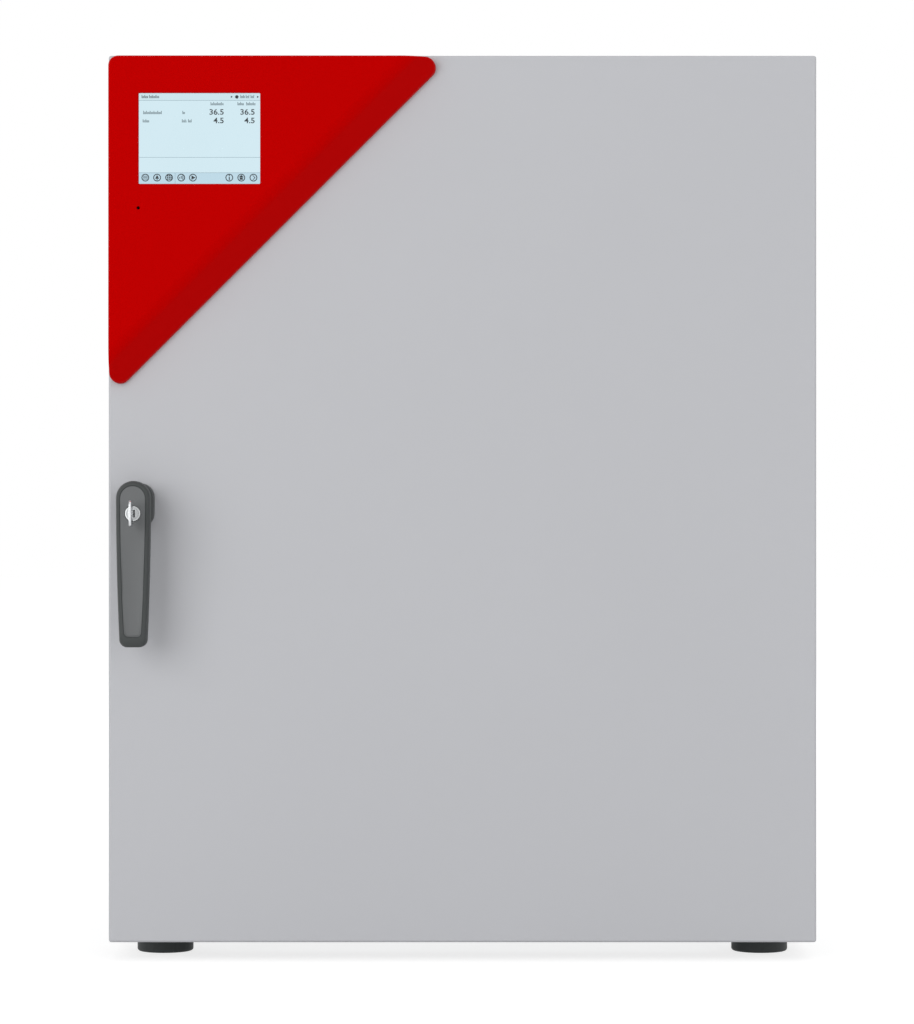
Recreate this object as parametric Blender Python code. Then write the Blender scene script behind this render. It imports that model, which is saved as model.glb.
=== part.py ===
"""Bench carbon dioxide incubator: a double-door, air-jacketed cabinet made as separate sub-parts.

Units are metres. +Z is up, the doors face -Y, and the floor that the feet stand on is z = 0.
Depths inside the cabinet are measured from the front face of its front frame, with at_depth().
"""

from math import asin, atan2, cos, hypot, pi, radians, sin, sqrt, tan

import bmesh
import bpy
from mathutils import Matrix, Vector

# Gaps and sheet thicknesses
SEAT_GAP = 0.0003
SHEET = 0.0012
FRAME_SHEET = 0.0015
SHEET_BEND = 0.0025
FLANGE = 0.018

# Chamber and the walls round it
CHAMBER_WIDTH = 0.560
CHAMBER_HEIGHT = 0.600
CHAMBER_DEPTH = 0.500
CHAMBER_CORNER = 0.030
CHAMBER_BACK_CORNER = 0.020
SIDE_WALL = 0.060
FLOOR_WALL = 0.110
ROOF_WALL = 0.142
REAR_WALL = 0.117

# Feet
FOOT_HEIGHT = 0.018
FOOT_RADIUS = 0.0275
FOOT_EDGE = 0.004
FOOT_STUD_RADIUS = 0.004
FOOT_STUD_LENGTH = 0.010
FOOT_SIDE_INSET = 0.0476
FOOT_FRONT_DEPTH = 0.020
FOOT_REAR_INSET = 0.060

# Recess in front of the chamber, which holds the glass door
RECESS_DEPTH = 0.028
RECESS_MARGIN = 0.016
RECESS_CORNER = 0.012
JACKET_GAP = 0.0005
PLENUM_DEPTH = 0.0368
INSULATION_DEPTH = 0.603

# Outer door
DOOR_THICKNESS = 0.062
DOOR_GAP = 0.008
DOOR_RAISE = 0.006
DOOR_LINER_MARGIN = 0.056
DOOR_RAISE_CORNER = 0.024
GASKET_WIDTH = 0.007
GASKET_LIP = 0.002
HINGE_INSET_X = 0.009
HINGE_DEPTH = -0.018
HINGE_RADIUS = 0.008
HINGE_PIN_RADIUS = 0.004
HINGE_PIN_HEAD = 0.0058
HINGE_HALF_HEIGHT = 0.040
HINGE_EYE_HALF = 0.0137
HINGE_PLATE_SHEET = 0.003
HINGE_LEAF_SHEET = 0.0025
HINGE_WEB_HALF = 0.004
HINGE_END_DISTANCE = 0.130

# Control panel on the outer door
PANEL_LEG = 0.326
PANEL_INSET_X = 0.002
PANEL_INSET_Z = 0.003
PANEL_RISE = 0.027
PANEL_EDGE_RISE = 0.013
PANEL_BAND = 0.0265
PANEL_WALL = 0.0028
PANEL_CORNER = 0.0096
WINDOW_WIDTH = 0.1158
WINDOW_HEIGHT = 0.0866
WINDOW_FROM_LEFT = 0.0871
WINDOW_FROM_TOP = 0.0793
SOUNDER_HOLE_RADIUS = 0.0015
SOUNDER_OFFSET = (-0.0583, -0.0663)
TOUCH_GLASS_MARGIN = 0.003
TOUCH_GLASS_THICKNESS = 0.0015
MODULE_MARGIN = (0.008, 0.0077)
MODULE_THICKNESS = 0.007
BOARD_THICKNESS = 0.0016
BOARD_POST_RADIUS = 0.003

# Handle, latch and lock
HANDLE_FROM_LEFT = 0.0273
HANDLE_ABOVE_MIDDLE = 0.002
LEVER_HEAD_RADIUS = 0.01525
LEVER_FOOT_WIDTH = 0.025
LEVER_ABOVE_AXIS = 0.031
LEVER_BELOW_AXIS = 0.127
LEVER_THICKNESS = 0.018
LEVER_STAND_OFF = 0.030
LEVER_HUB_RADIUS = 0.0125
LEVER_FOOT_CORNER = 0.007
ROSETTE_DEPTH = 0.0217
ROSETTE_HALF_WIDTH = 0.017
ROSETTE_BELOW = 0.013
ROSETTE_ABOVE = 0.029
ROSETTE_CORNER = 0.009
LATCH_SHAFT_RADIUS = 0.005
TONGUE_REACH = 0.0193
TONGUE_EYE_RADIUS = 0.007
TONGUE_HALF_WIDTH = 0.0045
TONGUE_DEPTH = 0.009
TONGUE_THICKNESS = 0.005
LATCH_SLOT_SIDE = 0.004
LATCH_SLOT_ABOVE = 0.012
KEEPER_SHEET = 0.0025
KEEPER_CLEARANCE = 0.0014
LOCK_RADIUS = 0.0075
LOCK_LENGTH = 0.014
KEYWAY_HALF = 0.0038
KEY_THICKNESS = 0.0022
KEY_BLADE_HALF = 0.0034
KEY_NECK = 0.005
KEY_BOW = 0.025
KEY_HOLE_RADIUS = 0.0035
KEY_HOLE_INSET = 0.0065
KEY_STANDS_OUT = 0.029

# Lever rows from back to front: insets at the side, top and bottom, and share of the thickness
LEVER_ROWS = (
    ((0.0022, 0.0022, 0.0022), 0.0),
    ((0.0006, 0.0006, 0.0006), 0.10),
    ((0.0, 0.0, 0.0), 0.28),
    ((0.0, 0.0, 0.0), 1 - 0.0065 / LEVER_THICKNESS),
    ((0.0012, 0.0016, 0.0035), 1 - 0.0024 / LEVER_THICKNESS),
    ((0.0031, 0.0044, 0.0088), 1.0),
)

# Glass door
GLASS_THICKNESS = 0.006
GLASS_DEPTH = 0.012
GLASS_CLEARANCE = 0.0045
GLASS_PIVOT_INSET = 0.006
GLASS_PIVOT_DEPTH = 0.008
GLASS_PIN_RADIUS = 0.003
GLASS_KNUCKLE_RADIUS = 0.0055
GLASS_CORNER = 0.010
GLASS_HINGE_INSET = 0.028
GLASS_HINGE_HEIGHT = 0.024
GLASS_HINGE_SHEET = 0.003
GLASS_SEAL_WIDTH = 0.008
KNOB_FROM_EDGE = 0.0195
KNOB_SPINDLE_RADIUS = 0.004

# Shelves and water pan
RIB_COUNT = 6
RIB_PITCH = 0.070
FIRST_RIB = 0.080
RIB_REACH = 0.009
RIB_HEIGHT = 0.014
SHELF_RIBS = {"lower": 0, "middle": 2, "upper": 4}
SHELF_SHEET = 0.0015
SHELF_SIDE_GAP = 0.004
SHELF_FRONT = 0.045
SHELF_REAR_GAP = 0.028
SHELF_LIP = 0.012
SHELF_EDGE = 0.006
SLOT_COLUMNS = 12
SLOT_ROWS = 2
SLOT_WIDTH = 0.026
SLOT_WEB_DEPTH = 0.025
PAN_SIDE_GAP = 0.040
PAN_FRONT = 0.062
PAN_DEPTH = 0.400
PAN_HEIGHT = 0.035

# Fan and heater behind the chamber
FAN_RADIUS = 0.070
FAN_BLADES = 12
SHAFT_RADIUS = 0.004
MOTOR_RADIUS = 0.036
FAN_HUB_RADIUS = 0.012
FAN_BLADE_START = 0.028
INTAKE_SLOTS = 10
HEATER_RADIUS = 0.095
HEATER_TUBE = 0.0035

# Control board: its edges, and its components as x, z, half width, half height and height
MAIN_BOARD_SPAN = (-0.040, 0.160)
MAIN_BOARD_HEIGHT = 0.160
BOARD_PARTS = (
    (0.010, 0.040, 0.024, 0.018, 0.010),
    (0.100, 0.045, 0.016, 0.016, 0.003),
    (0.055, 0.110, 0.030, 0.006, 0.008),
    (0.150, 0.115, 0.012, 0.020, 0.009),
)

# Services on the rear wall; body sizes are half widths and half heights
PORT_X = -0.200
PORT_BORE = 0.0155
PORT_WALL = 0.0035
PORT_FLANGE = 0.003
PLUG_LENGTH = 0.028
NOZZLE_X = 0.200
NOZZLE_REACH = 0.033
NOZZLE_COLLAR_RADIUS = 0.0085
NOZZLE_THREAD_RADIUS = 0.005
NOZZLE_BARBS = 3
NOZZLE_BARB_PITCH = 0.0055
INLET_X = -0.220
INLET_BODY = (0.0265, 0.0140)
SOCKET_OFFSET = 0.0105
ROCKER_OFFSET = -0.0145
SOCKET_HALF = (0.012, 0.008)
SOCKET_DEPTH = 0.014
INLET_PINS = ((-0.007, -0.0015), (0.007, -0.0015), (0.0, 0.0025))
NETWORK_X = -0.120
NETWORK_BODY = (0.0105, 0.0090)
NETWORK_MOUTH = (0.0060, 0.0045)
COOLING_COLUMN_X = 0.130
COOLING_ROWS = 6
COOLING_PITCH = 0.010
COOLING_FROM_TOP = 0.070
COOLING_HALF = (0.040, 0.002)

# Sensors: name, x, head radius, head length, stem radius and material
SENSORS = (
    ("co2_sensor", 0.090, 0.014, 0.040, 0.006, "silicone_white"),
    ("temperature_probe", 0.150, 0.003, 0.070, 0.0025, "stainless"),
    ("gas_mixing_head", -0.100, 0.010, 0.024, 0.005, "stainless"),
)

# Places worked out from the sizes above
WIDTH = CHAMBER_WIDTH + 2 * SIDE_WALL
HEIGHT = FOOT_HEIGHT + FLOOR_WALL + CHAMBER_HEIGHT + ROOF_WALL
CABINET_DEPTH = RECESS_DEPTH + CHAMBER_DEPTH + REAR_WALL
SIDE = WIDTH / 2
CHAMBER_SIDE = CHAMBER_WIDTH / 2
CHAMBER_BOTTOM = FOOT_HEIGHT + FLOOR_WALL
CHAMBER_TOP = CHAMBER_BOTTOM + CHAMBER_HEIGHT
CHAMBER_MIDDLE = (CHAMBER_BOTTOM + CHAMBER_TOP) / 2
CHAMBER_BACK = RECESS_DEPTH + CHAMBER_DEPTH
DOOR_FRONT = -(DOOR_GAP + DOOR_THICKNESS)
KEY_FRONT = DOOR_FRONT - LEVER_STAND_OFF - LEVER_THICKNESS - KEY_STANDS_OUT
FRAME_Y = -(KEY_FRONT + CABINET_DEPTH + NOZZLE_REACH) / 2
HANDLE_X = -SIDE + HANDLE_FROM_LEFT
HANDLE_Z = CHAMBER_MIDDLE + HANDLE_ABOVE_MIDDLE
LEVER_BACK = DOOR_FRONT - LEVER_STAND_OFF
LEVER_FRONT = LEVER_BACK - LEVER_THICKNESS
WINDOW_X = -SIDE + PANEL_INSET_X + WINDOW_FROM_LEFT
WINDOW_Z = HEIGHT - PANEL_INSET_Z - WINDOW_FROM_TOP
HINGE_X = SIDE - HINGE_INSET_X
HINGE_HEIGHTS = {"upper": HEIGHT - HINGE_END_DISTANCE, "lower": FOOT_HEIGHT + HINGE_END_DISTANCE}
GLASS_PIVOT_X = CHAMBER_SIDE + RECESS_MARGIN - GLASS_PIVOT_INSET
JACKET_BACK = CHAMBER_BACK + SHEET + PLENUM_DEPTH
REAR_SHEET_DEPTH = CABINET_DEPTH - SHEET
TRAY_REAR = REAR_SHEET_DEPTH - SEAT_GAP
TRAY_FRONT = FRAME_SHEET + SEAT_GAP
FAN_Z = CHAMBER_MIDDLE
SERVICE_Z = CHAMBER_BOTTOM - 0.018
PORT_Z = CHAMBER_TOP - 0.068
SENSOR_Z = CHAMBER_TOP - 0.048
ROCKER_X = INLET_X + ROCKER_OFFSET

# Facets
ROUND_STEPS = 16
SMALL_ROUND_STEPS = 12
CORNER_STEPS = 4
BEND_STEPS = 2


def at_depth(depth):
    """World y of a depth behind the front frame's face; negative depths are in front of it."""
    return FRAME_Y + depth


# Outlines and solids

def rounded_outline(corners, radii, steps=CORNER_STEPS):
    """The outline of a polygon whose corners are turned into arcs, as 2-D points."""
    points = []
    for index, corner in enumerate(corners):
        radius = radii[index] if isinstance(radii, (list, tuple)) else radii
        here = Vector(corner)
        back = (Vector(corners[index - 1]) - here).normalized()
        ahead = (Vector(corners[(index + 1) % len(corners)]) - here).normalized()
        half = back.angle(ahead) / 2
        centre = here + (back + ahead).normalized() * (radius / sin(half))
        start = here + back * (radius / tan(half)) - centre
        end = here + ahead * (radius / tan(half)) - centre
        turn = pi - 2 * half
        for step in range(steps + 1):
            share = step / steps
            arm = (start * sin((1 - share) * turn) + end * sin(share * turn)) / sin(turn)
            points.append(tuple(centre + arm))
    return points


def rectangle(low, high, radius, inset=0.0, steps=CORNER_STEPS):
    """A rounded rectangle between two 2-D corners, made smaller all round by inset."""
    left, bottom = low[0] + inset, low[1] + inset
    right, top = high[0] - inset, high[1] - inset
    corners = [(left, bottom), (right, bottom), (right, top), (left, top)]
    return rounded_outline(corners, max(radius - inset, 0.0004), steps)


def circle(centre, radius, steps=ROUND_STEPS):
    """Points round a circle."""
    angles = [2 * pi * step / steps for step in range(steps)]
    return [(centre[0] + radius * cos(a), centre[1] + radius * sin(a)) for a in angles]


def eye_outline(centre, radius, half_width, facing, reach, steps=14):
    """A round eye with a straight neck that leaves it in the direction facing."""
    gap = asin(half_width / radius)
    points = []
    for step in range(steps + 1):
        angle = facing + gap + (2 * pi - 2 * gap) * step / steps
        points.append((centre[0] + radius * cos(angle), centre[1] + radius * sin(angle)))
    along = Vector((cos(facing), sin(facing)))
    across = Vector((-along.y, along.x))
    foot = Vector(centre) + along * reach
    return points + [tuple(foot - across * half_width), tuple(foot + across * half_width)]


def in_space(outline, level, axis):
    """2-D points laid square to an axis at a level: (y, z) on X, (x, z) on Y and (x, y) on Z."""
    if axis == "X":
        return [(level, a, b) for a, b in outline]
    if axis == "Y":
        return [(a, level, b) for a, b in outline]
    return [(a, b, level) for a, b in outline]


def add_loft(bm, loops, closed=False):
    """A skin over loops of equally many points, capped at both ends, or joined end to end."""
    rings = [[bm.verts.new(point) for point in loop] for loop in loops]
    pairs = list(zip(rings, rings[1:]))
    if closed:
        pairs.append((rings[-1], rings[0]))
    for near, far in pairs:
        for index in range(len(near)):
            after = (index + 1) % len(near)
            bm.faces.new((near[index], near[after], far[after], far[index]))
    if not closed:
        bm.faces.new(rings[0])
        bm.faces.new(rings[-1][::-1])
    bmesh.ops.recalc_face_normals(bm, faces=bm.faces)
    return bm


def loft(loops, closed=False):
    """A new solid over loops."""
    return add_loft(bmesh.new(), loops, closed)


def add_prism(bm, outline, start, end, axis):
    """A straight prism of an outline between two levels of an axis."""
    return add_loft(bm, [in_space(outline, start, axis), in_space(outline, end, axis)])


def prism(outline, start, end, axis):
    """A new prism."""
    return add_prism(bmesh.new(), outline, start, end, axis)


def add_box(bm, low, high):
    """A plain box between two corners."""
    size = Vector(high) - Vector(low)
    middle = (Vector(high) + Vector(low)) / 2
    bmesh.ops.create_cube(bm, size=1, matrix=Matrix.Translation(middle) @ Matrix.Diagonal((*size, 1)))
    return bm


def box(low, high):
    """A new box."""
    return add_box(bmesh.new(), low, high)


def add_rod(bm, centre, radius, start, end, axis, steps=ROUND_STEPS):
    """A round rod between two levels of an axis."""
    return add_prism(bm, circle(centre, radius, steps), start, end, axis)


def rod(centre, radius, start, end, axis, steps=ROUND_STEPS):
    """A new rod."""
    return add_rod(bmesh.new(), centre, radius, start, end, axis, steps)


def small_rod(centre, radius, start, end, axis):
    """A pin or bore between two levels of an axis, with fewer facets."""
    return rod(centre, radius, start, end, axis, SMALL_ROUND_STEPS)


def turned(profile, centre, axis, closed=False, steps=ROUND_STEPS):
    """A turned piece from (radius, level) pairs; closed when the profile runs round a bore."""
    loops = [in_space(circle(centre, radius, steps), level, axis) for radius, level in profile]
    return loft(loops, closed)


def tray(low, high, corner, web, rim, axis, sheet=SHEET):
    """A folded sheet tray: web is the level of its closed outer face, rim that of its open edge."""
    way = 1 if rim > web else -1
    inner_bend = SHEET_BEND - sheet

    steps = BEND_STEPS if corner < 0.005 else CORNER_STEPS

    def loop(inset, level):
        return in_space(rectangle(low, high, corner, inset, steps), level, axis)

    loops = [loop(SHEET_BEND, web)]
    for turn in (pi / 4, pi / 2):
        loops.append(loop(SHEET_BEND * (1 - sin(turn)), web + way * SHEET_BEND * (1 - cos(turn))))
    loops += [loop(0, rim), loop(sheet, rim)]
    for turn in (pi / 2, pi / 4):
        inset = sheet + inner_bend * (1 - sin(turn))
        loops.append(loop(inset, web + way * (sheet + inner_bend * (1 - cos(turn)))))
    loops.append(loop(SHEET_BEND, web + way * sheet))
    return loft(loops)


def ring(low, high, corner, width, front, back, edge=0.0):
    """A seal or collar that runs round a rectangle in the XZ plane, inside low and high."""
    def loop(inset, level):
        return in_space(rectangle(low, high, corner, inset), level, "Y")

    return loft([loop(0, back), loop(0, front + edge), loop(edge, front), loop(width - edge, front),
                 loop(width, front + edge), loop(width, back)], closed=True)


# Objects, booleans and parents

def join_to(target, tools, operation):
    """Apply Boolean modifiers to an object, with bmeshes as the other operands."""
    helpers = []
    for number, tool in enumerate(tools):
        mesh = bpy.data.meshes.new("helper")
        tool.to_mesh(mesh)
        tool.free()
        helper = bpy.data.objects.new("helper", mesh)
        bpy.context.scene.collection.objects.link(helper)
        helpers.append(helper)
        modifier = target.modifiers.new(f"boolean_{number}", "BOOLEAN")
        modifier.solver = "EXACT"
        modifier.operation = operation
        modifier.object = helper
    bpy.context.view_layer.update()
    graph = bpy.context.evaluated_depsgraph_get()
    result = bpy.data.meshes.new_from_object(target.evaluated_get(graph))
    target.modifiers.clear()
    target.data = result
    for helper in helpers:
        bpy.data.objects.remove(helper)
    return target


def weld(target, *tools):
    """Fuse solids onto an object."""
    return join_to(target, tools, "UNION")


def carve(target, *tools):
    """Cut solids out of an object."""
    return join_to(target, tools, "DIFFERENCE")


def piece(name, bm, material, origin=(0, 0, 0)):
    """An object from a bmesh in world coordinates, with its origin where the real piece is located."""
    mesh = bpy.data.meshes.new(name)
    bmesh.ops.translate(bm, verts=bm.verts, vec=-Vector(origin))
    bm.to_mesh(mesh)
    bm.free()
    mesh.materials.append(material)
    item = bpy.data.objects.new(name, mesh)
    item.location = origin
    bpy.context.scene.collection.objects.link(item)
    return item


def finish(item, parent=None):
    """Smooth round faces, keep creases sharp, and hang the object on its parent."""
    item.data.shade_smooth()
    item.data.set_sharp_from_angle(angle=radians(32))
    if parent is not None:
        item.parent = parent
        item.matrix_parent_inverse = Matrix.Translation(place_of(parent)).inverted()
    return item


def place_of(item):
    """World place of an empty that may itself hang on another."""
    return Vector(item["place"])


def pivot(name, place, parent=None):
    """An empty on a joint's axis."""
    empty = bpy.data.objects.new(name, None)
    empty.empty_display_size = 0.03
    empty["place"] = tuple(place)
    empty.location = place
    bpy.context.scene.collection.objects.link(empty)
    if parent is not None:
        empty.parent = parent
        empty.matrix_parent_inverse = Matrix.Translation(place_of(parent)).inverted()
    return empty


def surface(name, colour, roughness, metallic=0.0, alpha=1.0):
    """A Principled material."""
    material = bpy.data.materials.new(name)
    material.use_nodes = True
    shader = material.node_tree.nodes["Principled BSDF"]
    shader.inputs["Base Color"].default_value = (*colour, 1.0)
    shader.inputs["Roughness"].default_value = roughness
    shader.inputs["Metallic"].default_value = metallic
    shader.inputs["Alpha"].default_value = alpha
    return material


def make_materials():
    """The materials of the incubator, by name."""
    return {
        "cabinet_paint": surface("cabinet_paint", (0.50, 0.51, 0.53), 0.45),
        "door_paint": surface("door_paint", (0.52, 0.53, 0.55), 0.42),
        "panel_red": surface("panel_red", (0.48, 0.004, 0.004), 0.38),
        "handle_grey": surface("handle_grey", (0.13, 0.14, 0.15), 0.50),
        "stainless": surface("stainless", (0.62, 0.62, 0.61), 0.30, 1.0),
        "zinc_sheet": surface("zinc_sheet", (0.55, 0.56, 0.58), 0.45, 1.0),
        "rubber_black": surface("rubber_black", (0.03, 0.032, 0.032), 0.70),
        "silicone_white": surface("silicone_white", (0.75, 0.75, 0.73), 0.60),
        "clear_glass": surface("clear_glass", (0.80, 0.88, 0.86), 0.05, 0.0, 0.35),
        "foam": surface("foam", (0.70, 0.66, 0.52), 0.90),
        "circuit_board": surface("circuit_board", (0.03, 0.16, 0.08), 0.50),
        "dark_plastic": surface("dark_plastic", (0.04, 0.04, 0.045), 0.50),
        "lock_chrome": surface("lock_chrome", (0.65, 0.66, 0.67), 0.20, 1.0),
        "screen": surface("screen", (0.55, 0.75, 0.83), 0.15),
        "brass": surface("brass", (0.60, 0.45, 0.20), 0.30, 1.0),
        "motor_grey": surface("motor_grey", (0.20, 0.21, 0.22), 0.45, 0.6),
    }


# Cabinet

def make_casing(surfaces):
    """Two side trays, the top and base trays between them, and the sheet that closes the back."""
    paint = surfaces["cabinet_paint"]
    front, rear = at_depth(TRAY_FRONT), at_depth(TRAY_REAR)
    slot = latch_slot(0.0)
    for name, way in (("side_panel_left", -1), ("side_panel_right", 1)):
        shell = tray((front, FOOT_HEIGHT), (rear, HEIGHT), 0.003, way * SIDE, way * (SIDE - FLANGE), "X")
        side = piece(name, shell, paint)
        if way < 0:
            carve(side, slot)
        finish(side)
    between = SIDE - FLANGE - SEAT_GAP
    low, high = (-between, front), (between, rear)
    finish(piece("top_panel", tray(low, high, 0.003, HEIGHT, HEIGHT - FLANGE, "Z"), paint))
    base = piece("base_panel", tray(low, high, 0.003, FOOT_HEIGHT, FOOT_HEIGHT + FLANGE, "Z"),
                 surfaces["zinc_sheet"])
    studs = bmesh.new()
    for x, y in foot_places():
        add_rod(studs, (x, y), FOOT_STUD_RADIUS + SEAT_GAP, FOOT_HEIGHT - 0.005, FOOT_HEIGHT + 0.005, "Z",
                SMALL_ROUND_STEPS)
    finish(carve(base, studs))


def foot_places():
    """Centres of the four feet."""
    side = SIDE - FOOT_SIDE_INSET
    depths = (FOOT_FRONT_DEPTH, CABINET_DEPTH - FOOT_REAR_INSET)
    return [(way * side, at_depth(depth)) for depth in depths for way in (-1, 1)]


def make_feet(surfaces):
    """Round rubber feet whose threaded studs pass through the base tray."""
    profile = [(FOOT_RADIUS - FOOT_EDGE, 0.0)]
    for turn in (pi / 6, pi / 3, pi / 2):
        profile.append((FOOT_RADIUS - FOOT_EDGE * (1 - sin(turn)), FOOT_EDGE * (1 - cos(turn))))
    top = FOOT_HEIGHT - SEAT_GAP
    profile += [(FOOT_RADIUS, top - 0.002), (FOOT_RADIUS - 0.002, top), (FOOT_STUD_RADIUS, top),
                (FOOT_STUD_RADIUS, top + FOOT_STUD_LENGTH)]
    for name, (x, y) in zip(("front_left", "front_right", "rear_left", "rear_right"), foot_places()):
        foot = turned(profile, (x, y), "Z")
        finish(piece(f"foot_{name}", foot, surfaces["rubber_black"], (x, y, 0)))


def latch_slot(margin):
    """The opening in the front frame that the latch tongue swings and passes through."""
    left = HANDLE_X - TONGUE_REACH - LATCH_SLOT_SIDE
    right = HANDLE_X + TONGUE_EYE_RADIUS + 0.0005
    low, high = HANDLE_Z - TONGUE_REACH - TONGUE_EYE_RADIUS, HANDLE_Z + LATCH_SLOT_ABOVE
    return box((left - margin, at_depth(-0.002), low - margin),
               (right + margin, at_depth(0.008), high + margin))


def recess_corners(grow=0.0):
    """Opposite corners of the door recess in the XZ plane."""
    side = CHAMBER_SIDE + RECESS_MARGIN + grow
    return (-side, CHAMBER_BOTTOM - RECESS_MARGIN - grow), (side, CHAMBER_TOP + RECESS_MARGIN + grow)


def make_front_frame(surfaces):
    """The pressed frame: outer face, recess wall, and the inner face that surrounds the chamber mouth."""
    outer = rectangle((-SIDE, FOOT_HEIGHT), (SIDE, HEIGHT), 0.004)
    recess = rectangle(*recess_corners(), RECESS_CORNER)
    behind = rectangle(*recess_corners(FRAME_SHEET), RECESS_CORNER + FRAME_SHEET)
    mouth = rectangle((-CHAMBER_SIDE, CHAMBER_BOTTOM), (CHAMBER_SIDE, CHAMBER_TOP), CHAMBER_CORNER)
    rows = [(outer, FRAME_SHEET), (outer, 0), (recess, 0), (recess, RECESS_DEPTH), (mouth, RECESS_DEPTH),
            (mouth, RECESS_DEPTH + FRAME_SHEET), (behind, RECESS_DEPTH + FRAME_SHEET), (behind, FRAME_SHEET)]
    loops = [in_space(outline, at_depth(depth), "Y") for outline, depth in rows]
    frame = piece("front_frame", loft(loops, closed=True), surfaces["cabinet_paint"])
    finish(carve(frame, latch_slot(0.0)))


def chamber_outline(inset, rib, grow):
    """Cross-section of the chamber: straight walls, round corners and the ribs that carry shelves."""
    half = CHAMBER_SIDE - inset + grow
    low, high = CHAMBER_BOTTOM + inset - grow, CHAMBER_TOP - inset + grow
    radius = CHAMBER_CORNER - inset / 2 + grow
    side = []
    for number in range(RIB_COUNT):
        top = CHAMBER_BOTTOM + FIRST_RIB + number * RIB_PITCH - grow
        crest = half - rib * RIB_REACH
        side += [(half, top + 2 * grow - RIB_HEIGHT), (crest, top + 2 * grow - RIB_HEIGHT * 0.6),
                 (crest, top - 0.0008), (half - rib * (RIB_REACH - 0.001), top)]
        side.append((half, top))
    corners = rounded_outline([(-half, low), (half, low), (half, high), (-half, high)], radius, 5)
    bottom, top = corners[:12], corners[12:]
    return bottom + side + top + [(-x, z) for x, z in reversed(side)]


def make_chamber(surfaces):
    """The drawn stainless chamber with shelf ribs, and the air jacket that surrounds it."""
    front = RECESS_DEPTH + FRAME_SHEET + SEAT_GAP
    stretch = [(front, 0), (0.060, 0), (0.074, 1), (CHAMBER_BACK - 0.062, 1), (CHAMBER_BACK - 0.048, 0)]
    round_end = [(CHAMBER_BACK_CORNER * (1 - cos(turn)), CHAMBER_BACK - CHAMBER_BACK_CORNER * (1 - sin(turn)))
                 for turn in (0, pi / 6, pi / 3, pi / 2)]
    loops = []
    for grow in (0.0, SHEET):
        rows = [(0, depth, rib) for depth, rib in stretch]
        rows += [(inset, depth + grow, 0) for inset, depth in round_end]
        loops.append([in_space(chamber_outline(inset, rib, grow), at_depth(depth), "Y")
                      for inset, depth, rib in rows])
    inner, outer = loops
    liner = piece("chamber_liner", loft(inner[::-1] + outer), surfaces["stainless"])
    holes = bmesh.new()
    rear = (at_depth(CHAMBER_BACK - 0.004), at_depth(CHAMBER_BACK + 0.006))
    for x, z, radius in rear_wall_holes():
        add_rod(holes, (x, z), radius, *rear, "Y")
    for number in range(INTAKE_SLOTS):
        turn = Matrix.Rotation(2 * pi * number / INTAKE_SLOTS, 4, "Y")
        slot = box((0.022, -0.004, -0.0035), (FAN_RADIUS - 0.008, 0.006, 0.0035))
        slot.transform(Matrix.Translation((0, at_depth(CHAMBER_BACK), FAN_Z)) @ turn)
        add_copy(holes, slot)
    finish(carve(liner, holes))

    side = CHAMBER_SIDE + RECESS_MARGIN + FRAME_SHEET - 0.0008
    below = CHAMBER_BOTTOM - (side - CHAMBER_SIDE)
    above = CHAMBER_TOP + (side - CHAMBER_SIDE)
    jacket = tray((-side, below), (side, above), RECESS_CORNER, at_depth(JACKET_BACK + SHEET),
                  at_depth(front), "Y")
    jacket = piece("air_jacket", jacket, surfaces["zinc_sheet"])
    span = (at_depth(JACKET_BACK - 0.005), at_depth(JACKET_BACK + 0.006))
    openings = rod((0, FAN_Z), 0.008, *span, "Y")
    add_rod(openings, (PORT_X, PORT_Z), PORT_BORE + PORT_WALL + SEAT_GAP, *span, "Y")
    finish(carve(jacket, openings))


def add_copy(bm, other):
    """Add another bmesh's geometry to this one, and free the other."""
    mesh = bpy.data.meshes.new("copy")
    other.to_mesh(mesh)
    other.free()
    bm.from_mesh(mesh)
    bpy.data.meshes.remove(mesh)


def rear_wall_holes():
    """Round holes in the chamber's rear wall: x, z and radius."""
    return [(PORT_X, PORT_Z, PORT_BORE + PORT_WALL + SEAT_GAP)] + [
        (x, SENSOR_Z, stem + SEAT_GAP) for _, x, _, _, stem, _ in SENSORS]


def make_insulation(surfaces):
    """The foam body between the air jacket and the casing, with its pockets."""
    side = SIDE - SHEET - SEAT_GAP
    low, high = (-side, FOOT_HEIGHT + FLANGE + SEAT_GAP), (side, HEIGHT - FLANGE - SEAT_GAP)
    front = at_depth(TRAY_FRONT + SHEET_BEND)
    pocket_back = at_depth(JACKET_BACK + SHEET + SEAT_GAP)
    pocket = rectangle(*recess_corners(FRAME_SHEET + JACKET_GAP), RECESS_CORNER + FRAME_SHEET)
    block = rectangle(low, high, 0.004)
    rear = at_depth(INSULATION_DEPTH)
    loops = [in_space(pocket, pocket_back, "Y"), in_space(pocket, front, "Y"),
             in_space(block, front, "Y"), in_space(block, rear, "Y")]
    foam = piece("cabinet_insulation", loft(loops), surfaces["foam"])
    holes = rod((0, FAN_Z), MOTOR_RADIUS + 0.006, pocket_back - 0.003, rear + 0.002, "Y")
    add_rod(holes, (PORT_X, PORT_Z), PORT_BORE + PORT_WALL + 0.001, pocket_back - 0.003, rear + 0.002, "Y")
    left = HANDLE_X - TONGUE_REACH - 0.010
    latch = box((left, front - 0.002, HANDLE_Z - TONGUE_REACH - 0.009),
                (HANDLE_X + 0.0095, at_depth(0.024), HANDLE_Z + 0.014))
    finish(carve(foam, holes, latch))


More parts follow.
